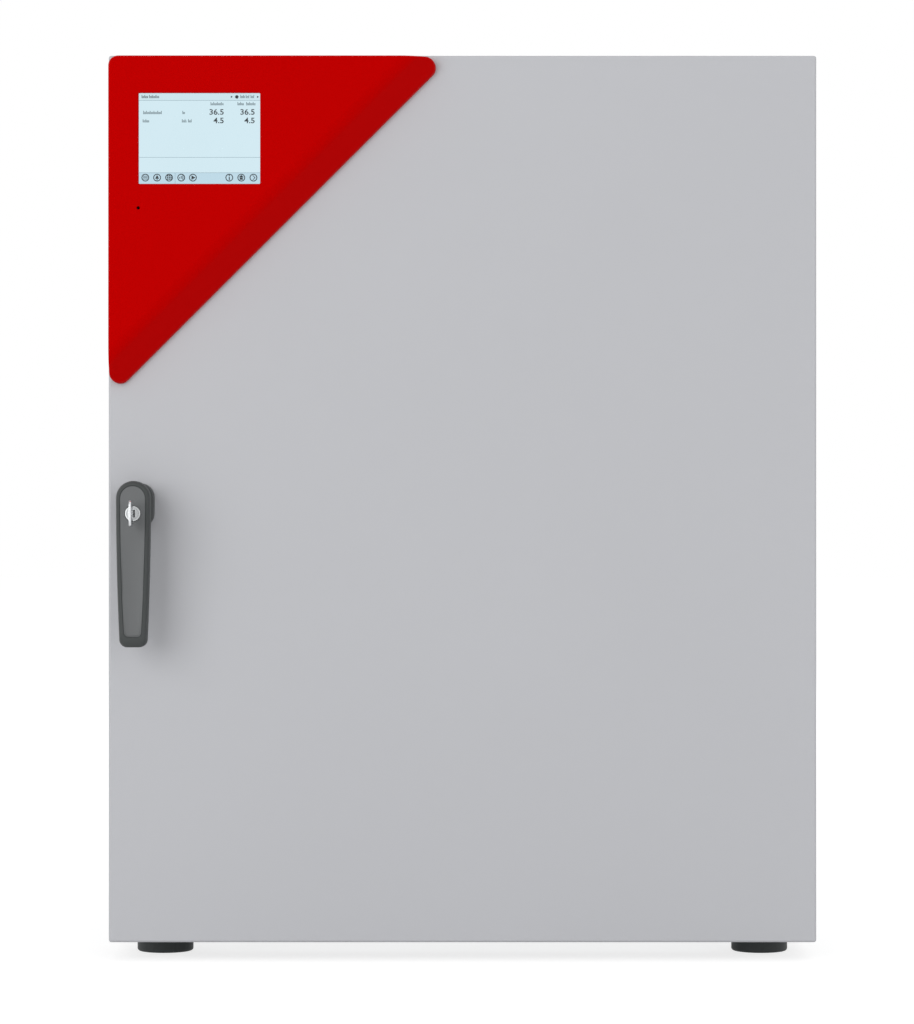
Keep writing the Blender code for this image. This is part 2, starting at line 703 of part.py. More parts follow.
def make_rear_panel(surfaces):
    """The back sheet with its service cut-outs and two fields of cooling slots."""
    margin = 0.003
    sheet = prism(rectangle((-SIDE + margin, FOOT_HEIGHT + margin), (SIDE - margin, HEIGHT - margin), 0.003),
                  at_depth(REAR_SHEET_DEPTH), at_depth(CABINET_DEPTH), "Y")
    panel = piece("rear_panel", sheet, surfaces["cabinet_paint"])
    near, far = at_depth(REAR_SHEET_DEPTH - 0.003), at_depth(CABINET_DEPTH + 0.003)
    holes = rod((PORT_X, PORT_Z), PORT_BORE + PORT_WALL + SEAT_GAP, near, far, "Y")
    add_rod(holes, (NOZZLE_X, SERVICE_Z), NOZZLE_THREAD_RADIUS + SEAT_GAP, near, far, "Y")
    for half_width, half_height, x in ((INLET_BODY[0], INLET_BODY[1], INLET_X),
                                       (NETWORK_BODY[0], NETWORK_BODY[1], NETWORK_X)):
        add_box(holes, (x - half_width - SEAT_GAP, near, SERVICE_Z - half_height - SEAT_GAP),
                (x + half_width + SEAT_GAP, far, SERVICE_Z + half_height + SEAT_GAP))
    half_width, half_height = COOLING_HALF
    for x in (-COOLING_COLUMN_X, COOLING_COLUMN_X):
        for row in range(COOLING_ROWS):
            z = HEIGHT - COOLING_FROM_TOP - row * COOLING_PITCH
            add_box(holes, (x - half_width, near, z - half_height), (x + half_width, far, z + half_height))
    finish(carve(panel, holes))


def make_seals(surfaces):
    """The silicone seal that the glass door closes on."""
    outside = 0.010
    side = CHAMBER_SIDE + outside
    low, high = (-side, CHAMBER_BOTTOM - outside), (side, CHAMBER_TOP + outside)
    front = at_depth(GLASS_DEPTH + GLASS_THICKNESS + SEAT_GAP)
    seal = ring(low, high, 0.026, GLASS_SEAL_WIDTH, front, at_depth(RECESS_DEPTH - SEAT_GAP), 0.002)
    finish(piece("glass_seal", seal, surfaces["silicone_white"]))


# Services in and behind the chamber

def make_sensors(surfaces):
    """Round-nosed sensors and the gas head, each with a flange on the wall and a stem through it."""
    for name, x, radius, length, stem, finish_name in SENSORS:
        wall = CHAMBER_BACK - SEAT_GAP
        nose = wall - length
        flange_radius, flange = radius + 0.005, wall - 0.003
        profile = [(radius * 0.45, nose), (radius * 0.82, nose + radius * 0.18),
                   (radius, nose + radius * 0.6), (radius, flange), (flange_radius, flange),
                   (flange_radius, wall), (stem, wall), (stem, wall + 0.018)]
        rows = [(r, at_depth(depth)) for r, depth in profile]
        finish(piece(name, turned(rows, (x, SENSOR_Z), "Y", steps=SMALL_ROUND_STEPS), surfaces[finish_name]))


def make_access_port(surfaces, plug_pivot):
    """The flanged tube from the chamber to the back, and the stopper that closes it."""
    outer = PORT_BORE + PORT_WALL
    inside, outside = CHAMBER_BACK - SEAT_GAP, CABINET_DEPTH + SEAT_GAP
    rim, near, far = outer + 0.004, inside - PORT_FLANGE, outside + PORT_FLANGE
    rows = [(PORT_BORE, near), (rim, near), (rim, inside), (outer, inside), (outer, outside), (rim, outside),
            (rim, far), (PORT_BORE, far)]
    tube = turned([(r, at_depth(depth)) for r, depth in rows], (PORT_X, PORT_Z), "Y", closed=True)
    finish(piece("access_port", tube, surfaces["silicone_white"]))
    seat = outside + PORT_FLANGE + SEAT_GAP
    fit = PORT_BORE - SEAT_GAP
    rows = [(PORT_BORE - 0.0018, seat - PLUG_LENGTH), (fit, seat - 0.002), (fit, seat), (outer + 0.001, seat),
            (outer + 0.002, seat + 0.002), (outer + 0.002, seat + 0.007), (outer, seat + 0.009)]
    plug = turned([(r, at_depth(depth)) for r, depth in rows], (PORT_X, PORT_Z), "Y")
    place = (PORT_X, at_depth(seat), PORT_Z)
    finish(piece("port_plug", plug, surfaces["rubber_black"], place), plug_pivot)


def make_gas_line(surfaces):
    """The barbed hose nozzle, and the valve behind the rear sheet."""
    inner, face = CABINET_DEPTH - 0.010, CABINET_DEPTH + SEAT_GAP
    tip = CABINET_DEPTH + NOZZLE_REACH
    rows = [(0.002, tip - 0.020), (0.002, tip), (0.0034, tip)]
    for number in range(NOZZLE_BARBS):
        start = tip - 0.001 - number * NOZZLE_BARB_PITCH
        rows += [(0.0050, start - 0.0045), (0.0038, start - 0.0050)]
    collar = face + 0.008
    rows += [(0.0038, collar), (NOZZLE_COLLAR_RADIUS, collar), (NOZZLE_COLLAR_RADIUS, face),
             (NOZZLE_THREAD_RADIUS, face), (NOZZLE_THREAD_RADIUS, inner)]
    nozzle = turned([(r, at_depth(depth)) for r, depth in rows], (NOZZLE_X, SERVICE_Z), "Y",
                    steps=SMALL_ROUND_STEPS)
    finish(piece("gas_nozzle", nozzle, surfaces["brass"]))
    rear = inner - SEAT_GAP
    valve = piece("gas_valve", box((NOZZLE_X - 0.017, at_depth(rear - 0.024), SERVICE_Z - 0.013),
                                   (NOZZLE_X + 0.017, at_depth(rear), SERVICE_Z + 0.013)), surfaces["brass"])
    coil = small_rod((NOZZLE_X, at_depth(rear - 0.012)), 0.011, SERVICE_Z + 0.010, SERVICE_Z + 0.046, "Z")
    finish(weld(valve, coil))


def make_power_inlet(surfaces, rocker_pivot):
    """The mains inlet with its switch frame, the rocker in it, and the network socket beside it."""
    half_width, half_height = INLET_BODY
    face, back = CABINET_DEPTH + SEAT_GAP, CABINET_DEPTH - 0.022
    body = box((INLET_X - half_width, at_depth(back), SERVICE_Z - half_height),
               (INLET_X + half_width, at_depth(face + 0.001), SERVICE_Z + half_height))
    inlet = piece("mains_inlet", body, surfaces["dark_plastic"])
    flange = prism(rectangle((INLET_X - half_width - 0.004, SERVICE_Z - half_height - 0.003),
                             (INLET_X + half_width + 0.004, SERVICE_Z + half_height + 0.003), 0.003),
                   at_depth(face), at_depth(face + 0.003), "Y")
    weld(inlet, flange)
    socket_x = INLET_X + SOCKET_OFFSET
    half_x, half_z = SOCKET_HALF
    corners = [(socket_x - half_x, SERVICE_Z - half_z), (socket_x + half_x, SERVICE_Z - half_z),
               (socket_x + half_x, SERVICE_Z + half_z), (socket_x - half_x, SERVICE_Z + half_z)]
    socket = prism(rounded_outline(corners, [0.004, 0.004, 0.001, 0.001]), at_depth(face - SOCKET_DEPTH),
                   at_depth(face + 0.006), "Y")
    well = box((ROCKER_X - 0.0068, at_depth(face - 0.013), SERVICE_Z - 0.0108),
               (ROCKER_X + 0.0068, at_depth(face + 0.006), SERVICE_Z + 0.0108))
    carve(inlet, socket, well)
    pins = bmesh.new()
    for x, z in INLET_PINS:
        add_box(pins, (socket_x + x - 0.001, at_depth(face - 0.0155), SERVICE_Z + z - 0.002),
                (socket_x + x + 0.001, at_depth(face - 0.002), SERVICE_Z + z + 0.002))
    finish(weld(inlet, pins))

    axis_depth = face - 0.003
    outline = [(-0.008, -0.0060), (-0.008, 0.0060), (-0.001, 0.0094), (0.0062, 0.0094), (0.0042, 0.0),
               (0.0022, -0.0094), (-0.001, -0.0094)]
    rocker = prism([(at_depth(axis_depth + y), SERVICE_Z + z) for y, z in outline],
                   ROCKER_X - 0.0064, ROCKER_X + 0.0064, "X")
    place = (ROCKER_X, at_depth(axis_depth), SERVICE_Z)
    finish(piece("mains_rocker", rocker, surfaces["dark_plastic"], place), rocker_pivot)

    half_width, half_height = NETWORK_BODY
    body = box((NETWORK_X - half_width, at_depth(CABINET_DEPTH - 0.016), SERVICE_Z - half_height),
               (NETWORK_X + half_width, at_depth(CABINET_DEPTH + 0.001), SERVICE_Z + half_height))
    network = piece("network_socket", body, surfaces["zinc_sheet"])
    mouth_width, mouth_height = NETWORK_MOUTH
    opening = box((NETWORK_X - mouth_width, at_depth(CABINET_DEPTH - 0.012), SERVICE_Z - mouth_height),
                  (NETWORK_X + mouth_width, at_depth(CABINET_DEPTH + 0.003), SERVICE_Z + mouth_height))
    half_width, half_height = half_width + SHEET, half_height + SHEET
    collar = box((NETWORK_X - half_width, at_depth(face), SERVICE_Z - half_height),
                 (NETWORK_X + half_width, at_depth(face + SHEET), SERVICE_Z + half_height))
    finish(carve(weld(network, collar), opening))


def make_fan(surfaces, fan_pivot):
    """The fan wheel on its motor's shaft, and the heating ring round it."""
    front = CHAMBER_BACK + SHEET + 0.004
    disc_back = JACKET_BACK - 0.010
    disc = disc_back - 0.0015
    blade_turn = 2 * pi / FAN_BLADES
    angles = []
    for number in range(FAN_BLADES):
        middle = number * blade_turn
        angles += [middle - 0.018, middle + 0.018, middle + blade_turn / 2]
    bore = SHAFT_RADIUS + SEAT_GAP
    rows = [(bore, front), (FAN_HUB_RADIUS, front), (FAN_HUB_RADIUS, disc), (FAN_BLADE_START, disc),
            (FAN_RADIUS, disc), (FAN_RADIUS, disc_back), (bore, disc_back)]
    loops = [[(r * cos(a), at_depth(depth), FAN_Z + r * sin(a)) for a in angles] for r, depth in rows]
    wheel = loft(loops, closed=True)
    roots = []
    for face in wheel.faces:
        middle = face.calc_center_median()
        radius = hypot(middle.x, middle.z - FAN_Z)
        turn = atan2(middle.z - FAN_Z, middle.x) % blade_turn
        on_blade = min(turn, blade_turn - turn) < 0.01
        if on_blade and FAN_BLADE_START < radius < FAN_RADIUS and abs(middle.y - at_depth(disc)) < 1e-5:
            roots.append(face)
    for face in roots:
        grown = bmesh.ops.extrude_face_region(wheel, geom=[face])["geom"]
        corners = [item for item in grown if isinstance(item, bmesh.types.BMVert)]
        bmesh.ops.translate(wheel, verts=corners, vec=(0, -(disc - front - 0.002), 0))
        bmesh.ops.delete(wheel, geom=[face], context="FACES_ONLY")
    bmesh.ops.recalc_face_normals(wheel, faces=wheel.faces)
    finish(piece("fan_wheel", wheel, surfaces["dark_plastic"], (0, at_depth(disc), FAN_Z)), fan_pivot)

    plate = JACKET_BACK + SHEET + SEAT_GAP
    rows = [(SHAFT_RADIUS, front + 0.001), (SHAFT_RADIUS, plate), (MOTOR_RADIUS + 0.005, plate),
            (MOTOR_RADIUS + 0.005, plate + 0.0025), (MOTOR_RADIUS, plate + 0.0025),
            (MOTOR_RADIUS, plate + 0.050), (MOTOR_RADIUS - 0.004, plate + 0.054)]
    motor = turned([(r, at_depth(depth)) for r, depth in rows], (0, FAN_Z), "Y")
    finish(piece("fan_motor", motor, surfaces["motor_grey"]))

    level = JACKET_BACK - SEAT_GAP - HEATER_TUBE
    turns = [2 * pi * step / 6 for step in range(6)]
    rows = [(HEATER_RADIUS + HEATER_TUBE * cos(turn), at_depth(level + HEATER_TUBE * sin(turn)))
            for turn in turns]
    finish(piece("heating_ring", turned(rows, (0, FAN_Z), "Y", closed=True, steps=24), surfaces["stainless"]))


def make_main_board(surfaces):
    """The control board on four posts in front of the rear sheet."""
    left, right = MAIN_BOARD_SPAN
    high = CHAMBER_TOP - 0.048
    low = high - MAIN_BOARD_HEIGHT
    level = at_depth(INSULATION_DEPTH + 0.015)
    plate = box((left, level, low), (right, level + BOARD_THICKNESS, high))
    board = piece("main_board", plate, surfaces["circuit_board"])
    extras = bmesh.new()
    inset = 0.008
    for x in (left + inset, right - inset):
        for z in (low + inset, high - inset):
            add_rod(extras, (x, z), BOARD_POST_RADIUS, level + 0.001, at_depth(TRAY_REAR), "Y",
                    SMALL_ROUND_STEPS)
    for x, z, half_x, half_z, tall in BOARD_PARTS:
        add_box(extras, (left + 0.020 + x - half_x, level - tall, low + z - half_z),
                (left + 0.020 + x + half_x, level + 0.0005, low + z + half_z))
    finish(weld(board, extras))


# Outer door

def hinge_notch(margin=0.0):
    """The cut-outs in the door's hinge side that the two hinges stand in."""
    cut = bmesh.new()
    for height in HINGE_HEIGHTS.values():
        reach = HINGE_HALF_HEIGHT + 0.004 + margin
        add_box(cut, (HINGE_X - HINGE_RADIUS - 0.002 - margin, at_depth(-0.030 - margin), height - reach),
                (SIDE + 0.002, at_depth(-0.001), height + reach))
    return cut


def make_door(surfaces, door_pivot):
    """Skin, liner, foam core and gasket of the outer door."""
    low, high = (-SIDE, FOOT_HEIGHT), (SIDE, HEIGHT)
    front = at_depth(DOOR_FRONT)
    rear = at_depth(-DOOR_GAP)
    rim = rear - SHEET - SEAT_GAP
    place = (HINGE_X, at_depth(HINGE_DEPTH), CHAMBER_MIDDLE)

    def shaft_hole(radius):
        return small_rod((HANDLE_X, HANDLE_Z), radius, front - 0.005, rear + 0.005, "Y")

    skin = piece("door_shell", tray(low, high, 0.004, front, rim, "Y"), surfaces["door_paint"], place)
    finish(carve(skin, shaft_hole(LATCH_SHAFT_RADIUS + SEAT_GAP), hinge_notch()), door_pivot)

    margin = DOOR_LINER_MARGIN
    raised_low, raised_high = (-SIDE + margin, CHAMBER_BOTTOM - 0.004), (SIDE - margin, CHAMBER_TOP + 0.004)

    def raised(inset):
        return rectangle(raised_low, raised_high, DOOR_RAISE_CORNER, inset)

    outer = rectangle(low, high, 0.004)
    top = rear + DOOR_RAISE
    rows = [(raised(0.004), top), (raised(0.001), top - 0.001), (raised(0), top - 0.003), (raised(0), rear),
            (outer, rear), (outer, rear - SHEET), (raised(SHEET), rear - SHEET), (raised(SHEET), top - 0.004),
            (raised(0.005), top - SHEET)]
    liner = piece("door_liner", loft([in_space(o, y, "Y") for o, y in rows]), surfaces["stainless"], place)
    finish(carve(liner, shaft_hole(LATCH_SHAFT_RADIUS + SEAT_GAP), hinge_notch()), door_pivot)

    inset = SHEET + SEAT_GAP
    rows = [(SHEET_BEND, front + inset), (inset, front + SHEET_BEND), (inset, rim)]
    core = loft([in_space(rectangle(low, high, 0.004, side), y, "Y") for side, y in rows])
    foam = piece("door_insulation", core, surfaces["foam"], place)
    finish(carve(foam, shaft_hole(LATCH_SHAFT_RADIUS + 0.002), hinge_notch(0.0005)), door_pivot)

    gasket_low, gasket_high = recess_corners(0.008)
    gasket = ring(gasket_low, gasket_high, 0.020, GASKET_WIDTH, at_depth(-SEAT_GAP), rear + SEAT_GAP,
                  -GASKET_LIP)
    finish(piece("door_gasket", gasket, surfaces["rubber_black"], place), door_pivot)


def make_hinges(surfaces, door_pivot):
    """Two hinges: a bracket on the front frame, a leaf on the door, and the pin through both."""
    centre = (HINGE_X, at_depth(HINGE_DEPTH))
    bore = HINGE_PIN_RADIUS + SEAT_GAP
    plate_front = at_depth(-SEAT_GAP - HINGE_PLATE_SHEET)
    leaf_front = at_depth(-DOOR_GAP + SEAT_GAP)
    leaf_back = leaf_front + HINGE_LEAF_SHEET
    for name, height in HINGE_HEIGHTS.items():
        plate = box((SIDE - 0.028, plate_front, height - HINGE_HALF_HEIGHT),
                    (SIDE - 0.002, at_depth(-SEAT_GAP), height + HINGE_HALF_HEIGHT))
        bracket = piece(f"hinge_bracket_{name}", plate, surfaces["zinc_sheet"])
        eye = eye_outline(centre, HINGE_RADIUS, HINGE_WEB_HALF, pi / 2, plate_front + 0.001 - centre[1])
        eyes = bmesh.new()
        gap = HINGE_EYE_HALF + SEAT_GAP
        add_prism(eyes, eye, height + gap, height + HINGE_HALF_HEIGHT, "Z")
        add_prism(eyes, eye, height - HINGE_HALF_HEIGHT, height - gap, "Z")
        reach = HINGE_HALF_HEIGHT + 0.001
        finish(carve(weld(bracket, eyes), small_rod(centre, bore, height - reach, height + reach, "Z")))

        leaf = piece(f"door_leaf_{name}", box((SIDE - 0.033, leaf_front, height - HINGE_HALF_HEIGHT),
                                              (SIDE - 0.020, leaf_back, height + HINGE_HALF_HEIGHT)),
                     surfaces["zinc_sheet"], (*centre, height))
        arm = box((SIDE - 0.022, leaf_front, height - HINGE_EYE_HALF),
                  (HINGE_X + HINGE_WEB_HALF, leaf_back, height + HINGE_EYE_HALF))
        eye = eye_outline(centre, HINGE_RADIUS, HINGE_WEB_HALF, pi / 2, leaf_front + 0.001 - centre[1])
        knuckle = prism(eye, height - HINGE_EYE_HALF, height + HINGE_EYE_HALF, "Z")
        pin_hole = small_rod(centre, bore, height - reach, height + reach, "Z")
        finish(carve(weld(leaf, arm, knuckle), pin_hole), door_pivot)

        low, high = height - HINGE_HALF_HEIGHT - SEAT_GAP, height + HINGE_HALF_HEIGHT + SEAT_GAP
        rows = [(HINGE_PIN_RADIUS - 0.001, low), (HINGE_PIN_RADIUS, low + 0.001), (HINGE_PIN_RADIUS, high),
                (HINGE_PIN_HEAD, high), (HINGE_PIN_HEAD, high + 0.0018),
                (HINGE_PIN_HEAD - 0.0012, high + 0.0024)]
        pin = turned(rows, centre, "Z", steps=SMALL_ROUND_STEPS)
        finish(piece(f"hinge_pin_{name}", pin, surfaces["stainless"]))


# Control panel

def panel_form(inset, back, rise):
    """The three-cornered panel body: a rounded prism whose long edge is cut to a slope.

    inset shrinks the outline, rise is how far the face stands in front of the door.
    """
    left, top = -SIDE + PANEL_INSET_X, HEIGHT - PANEL_INSET_Z
    far = sqrt(2) * inset
    corners = [(left + inset, top - inset), (left + PANEL_LEG - inset - far, top - inset),
               (left + inset, top - PANEL_LEG + inset + far)]
    outline = rounded_outline(corners, max(PANEL_CORNER - inset, 0.002), 6)
    form = prism(outline, at_depth(DOOR_FRONT - back), at_depth(DOOR_FRONT - rise), "Y")
    edge_point = Vector((left + PANEL_LEG, at_depth(DOOR_FRONT - PANEL_EDGE_RISE), top))
    slope = Vector((-1, 0, 1)).normalized() * PANEL_BAND
    slope.y = -(PANEL_RISE - PANEL_EDGE_RISE)
    along = Vector((1, 0, 1)).normalized()
    normal = slope.cross(along).normalized()
    if normal.y > 0:
        normal = -normal
    edge_point -= normal * (PANEL_RISE - rise)
    cut = bmesh.ops.bisect_plane(form, geom=form.verts[:] + form.edges[:] + form.faces[:], dist=1e-6,
                                 plane_co=edge_point, plane_no=normal, clear_outer=True)
    rim = [item for item in cut["geom_cut"] if isinstance(item, bmesh.types.BMEdge)]
    bmesh.ops.contextual_create(form, geom=rim)
    bmesh.ops.recalc_face_normals(form, faces=form.faces)
    return form


def round_window(margin_x, margin_z, radius):
    """The display window's outline, grown by a margin on each side."""
    half_x, half_z = WINDOW_WIDTH / 2 + margin_x, WINDOW_HEIGHT / 2 + margin_z
    return rectangle((WINDOW_X - half_x, WINDOW_Z - half_z), (WINDOW_X + half_x, WINDOW_Z + half_z), radius)


def make_panel(surfaces, door_pivot):
    """The red cover, and the display, touch glass and board that it holds."""
    place = (HINGE_X, at_depth(HINGE_DEPTH), CHAMBER_MIDDLE)
    cover = piece("control_panel_housing", panel_form(0, SEAT_GAP, PANEL_RISE), surfaces["panel_red"], place)
    front = at_depth(DOOR_FRONT - PANEL_RISE)
    window = prism(round_window(0, 0, 0.0012), front - 0.005, front + 0.008, "Y")
    sounder_x, sounder_z = SOUNDER_OFFSET
    sounder = small_rod((WINDOW_X + sounder_x, WINDOW_Z + sounder_z), SOUNDER_HOLE_RADIUS, front - 0.005,
                        front + 0.008, "Y")
    carve(cover, panel_form(PANEL_WALL, -0.001, PANEL_RISE - PANEL_WALL))
    finish(carve(cover, window, sounder), door_pivot)

    glass_front = front + PANEL_WALL + SEAT_GAP
    glass_back = glass_front + TOUCH_GLASS_THICKNESS
    glass = prism(round_window(TOUCH_GLASS_MARGIN, TOUCH_GLASS_MARGIN, 0.002), glass_front, glass_back, "Y")
    finish(piece("touch_glass", glass, surfaces["screen"], place), door_pivot)

    module_front = glass_back + SEAT_GAP
    module_back = module_front + MODULE_THICKNESS
    module = prism(round_window(*MODULE_MARGIN, 0.002), module_front, module_back, "Y")
    finish(piece("display_module", module, surfaces["dark_plastic"], place), door_pivot)

    half_x, half_z = WINDOW_WIDTH / 2 + MODULE_MARGIN[0], WINDOW_HEIGHT / 2 + MODULE_MARGIN[1]
    board_front = module_back + SEAT_GAP
    door_face = at_depth(DOOR_FRONT) - SEAT_GAP
    plate = box((WINDOW_X - half_x, board_front, WINDOW_Z - half_z),
                (WINDOW_X + half_x, board_front + BOARD_THICKNESS, WINDOW_Z + half_z))
    board = piece("controller_board", plate, surfaces["circuit_board"], place)
    extras = bmesh.new()
    inset = 0.006
    for x in (WINDOW_X - half_x + inset, WINDOW_X + half_x - inset):
        for z in (WINDOW_Z - half_z + inset, WINDOW_Z + half_z - inset):
            add_rod(extras, (x, z), BOARD_POST_RADIUS, board_front + 0.001, door_face, "Y", SMALL_ROUND_STEPS)
    add_box(extras, (WINDOW_X - 0.020, board_front + 0.001, WINDOW_Z - 0.020),
            (WINDOW_X + 0.020, board_front + 0.005, WINDOW_Z + 0.020))
    add_box(extras, (WINDOW_X + 0.030, board_front + 0.001, WINDOW_Z - 0.030),
            (WINDOW_X + 0.046, board_front + 0.007, WINDOW_Z + 0.030))
    finish(weld(board, extras), door_pivot)


# Handle, latch and lock

def lever_outline(inset_side, inset_top, inset_bottom):
    """The lever seen from the front: a round head that narrows to a blunt lower end."""
    head = LEVER_HEAD_RADIUS - inset_side
    top = HANDLE_Z + LEVER_ABOVE_AXIS - inset_top
    bottom = HANDLE_Z - LEVER_BELOW_AXIS + inset_bottom
    foot = LEVER_FOOT_WIDTH / 2 - inset_side
    centre_z = top - head
    points = []
    for step in range(13):
        angle = pi * step / 12
        points.append((HANDLE_X + head * cos(angle), centre_z + head * sin(angle)))
    corner = min(LEVER_FOOT_CORNER, foot * 0.6)
    for way, start in ((-1, pi), (1, 1.5 * pi)):
        for step in range(5):
            angle = start + pi / 2 * step / 4
            points.append((HANDLE_X + way * (foot - corner) + corner * cos(angle),
                           bottom + corner + corner * sin(angle)))
    return points


def make_handle(surfaces, door_pivot, handle_pivot):
    """The rosette on the door, the lever, its shaft through the door, and the tongue behind the frame."""
    centre = (HANDLE_X, HANDLE_Z)
    door_face = at_depth(DOOR_FRONT) - SEAT_GAP
    rosette_front = at_depth(DOOR_FRONT - ROSETTE_DEPTH)
    low = (HANDLE_X - ROSETTE_HALF_WIDTH, HANDLE_Z - ROSETTE_BELOW)
    high = (HANDLE_X + ROSETTE_HALF_WIDTH, HANDLE_Z + ROSETTE_ABOVE)
    rows = [(0, door_face), (0.0005, rosette_front + 0.004), (0.0018, rosette_front + 0.0012),
            (0.004, rosette_front)]
    rosette = loft([in_space(rectangle(low, high, ROSETTE_CORNER, inset), level, "Y")
                    for inset, level in rows])
    base = piece("handle_base", rosette, surfaces["handle_grey"], (HANDLE_X, door_face, HANDLE_Z))
    shaft_hole = small_rod(centre, LATCH_SHAFT_RADIUS + SEAT_GAP, rosette_front - 0.002,
                           door_face + 0.002, "Y")
    finish(carve(base, shaft_hole), door_pivot)

    back, front = at_depth(LEVER_BACK), at_depth(LEVER_FRONT)
    solid = loft([in_space(lever_outline(*insets), back + (front - back) * share, "Y")
                  for insets, share in LEVER_ROWS])
    lever = piece("handle_lever", solid, surfaces["handle_grey"], (HANDLE_X, back, HANDLE_Z))
    hub = rod(centre, LEVER_HUB_RADIUS, back - 0.002, rosette_front - SEAT_GAP, "Y")
    bore = rod(centre, LOCK_RADIUS + SEAT_GAP, front - 0.002, front + LOCK_LENGTH + SEAT_GAP, "Y")
    finish(carve(weld(lever, hub), bore), handle_pivot)

    shaft_rear = at_depth(TONGUE_DEPTH) - SEAT_GAP
    shaft = small_rod(centre, LATCH_SHAFT_RADIUS, rosette_front, shaft_rear, "Y")
    finish(piece("latch_shaft", shaft, surfaces["stainless"], (HANDLE_X, shaft_rear, HANDLE_Z)), handle_pivot)

    eye = eye_outline(centre, TONGUE_EYE_RADIUS, TONGUE_HALF_WIDTH, pi, TONGUE_REACH)
    tongue = prism(eye, at_depth(TONGUE_DEPTH), at_depth(TONGUE_DEPTH + TONGUE_THICKNESS), "Y")
    place = (HANDLE_X, at_depth(TONGUE_DEPTH), HANDLE_Z)
    finish(piece("latch_tongue", tongue, surfaces["zinc_sheet"], place), handle_pivot)


def make_keeper(surfaces):
    """The angle on the left side tray that the tongue locks behind."""
    wall = -SIDE + SHEET + SEAT_GAP
    low, high = HANDLE_Z - TONGUE_REACH - TONGUE_EYE_RADIUS, HANDLE_Z + LATCH_SLOT_ABOVE
    lip_edge = HANDLE_X - TONGUE_REACH - KEEPER_CLEARANCE
    lip_back = at_depth(TONGUE_DEPTH - 0.002)
    lip_front, rear = lip_back - KEEPER_SHEET, at_depth(0.021)
    outline = [(wall, lip_front), (lip_edge, lip_front), (lip_edge, lip_back), (wall + 0.002, lip_back),
               (wall + 0.002, rear), (wall, rear)]
    finish(piece("latch_keeper", prism(outline, low, high, "Z"), surfaces["zinc_sheet"]))


def make_lock(surfaces, lock_pivot, key_pivot):
    """The lock cylinder in the lever's head, and its key."""
    centre = (HANDLE_X, HANDLE_Z)
    front = at_depth(LEVER_FRONT)
    rows = [(LOCK_RADIUS - 0.0008, front), (LOCK_RADIUS, front + 0.0008), (LOCK_RADIUS, front + LOCK_LENGTH)]
    barrel = piece("lock_cylinder", turned(rows, centre, "Y"), surfaces["lock_chrome"],
                   (HANDLE_X, front, HANDLE_Z))
    half = KEY_THICKNESS / 2 + SEAT_GAP
    keyway = box((HANDLE_X - half, front - 0.002, HANDLE_Z - KEYWAY_HALF),
                 (HANDLE_X + half, front + LOCK_LENGTH - 0.001, HANDLE_Z + KEYWAY_HALF))
    finish(carve(barrel, keyway), lock_pivot)

    bow_front, bow_back = front - KEY_STANDS_OUT, front - KEY_NECK
    half, blade = KEY_BOW / 2, KEY_BLADE_HALF
    tip = front + LOCK_LENGTH - 0.002
    corners = [(tip, -blade), (tip, blade), (bow_back, blade), (bow_back, half), (bow_front, half),
               (bow_front, -half), (bow_back, -half), (bow_back, -blade)]
    outline = rounded_outline(corners, [0.0016, 0.0016, 0.001, 0.007, 0.009, 0.009, 0.007, 0.001])
    key = prism([(y, HANDLE_Z + z) for y, z in outline], HANDLE_X - KEY_THICKNESS / 2,
                HANDLE_X + KEY_THICKNESS / 2, "X")
    key = piece("door_key", key, surfaces["lock_chrome"], (HANDLE_X, front, HANDLE_Z))
    ring_hole = small_rod((bow_front + KEY_HOLE_INSET, HANDLE_Z), KEY_HOLE_RADIUS, HANDLE_X - 0.005,
                          HANDLE_X + 0.005, "X")
    finish(carve(key, ring_hole), key_pivot)


# Glass door

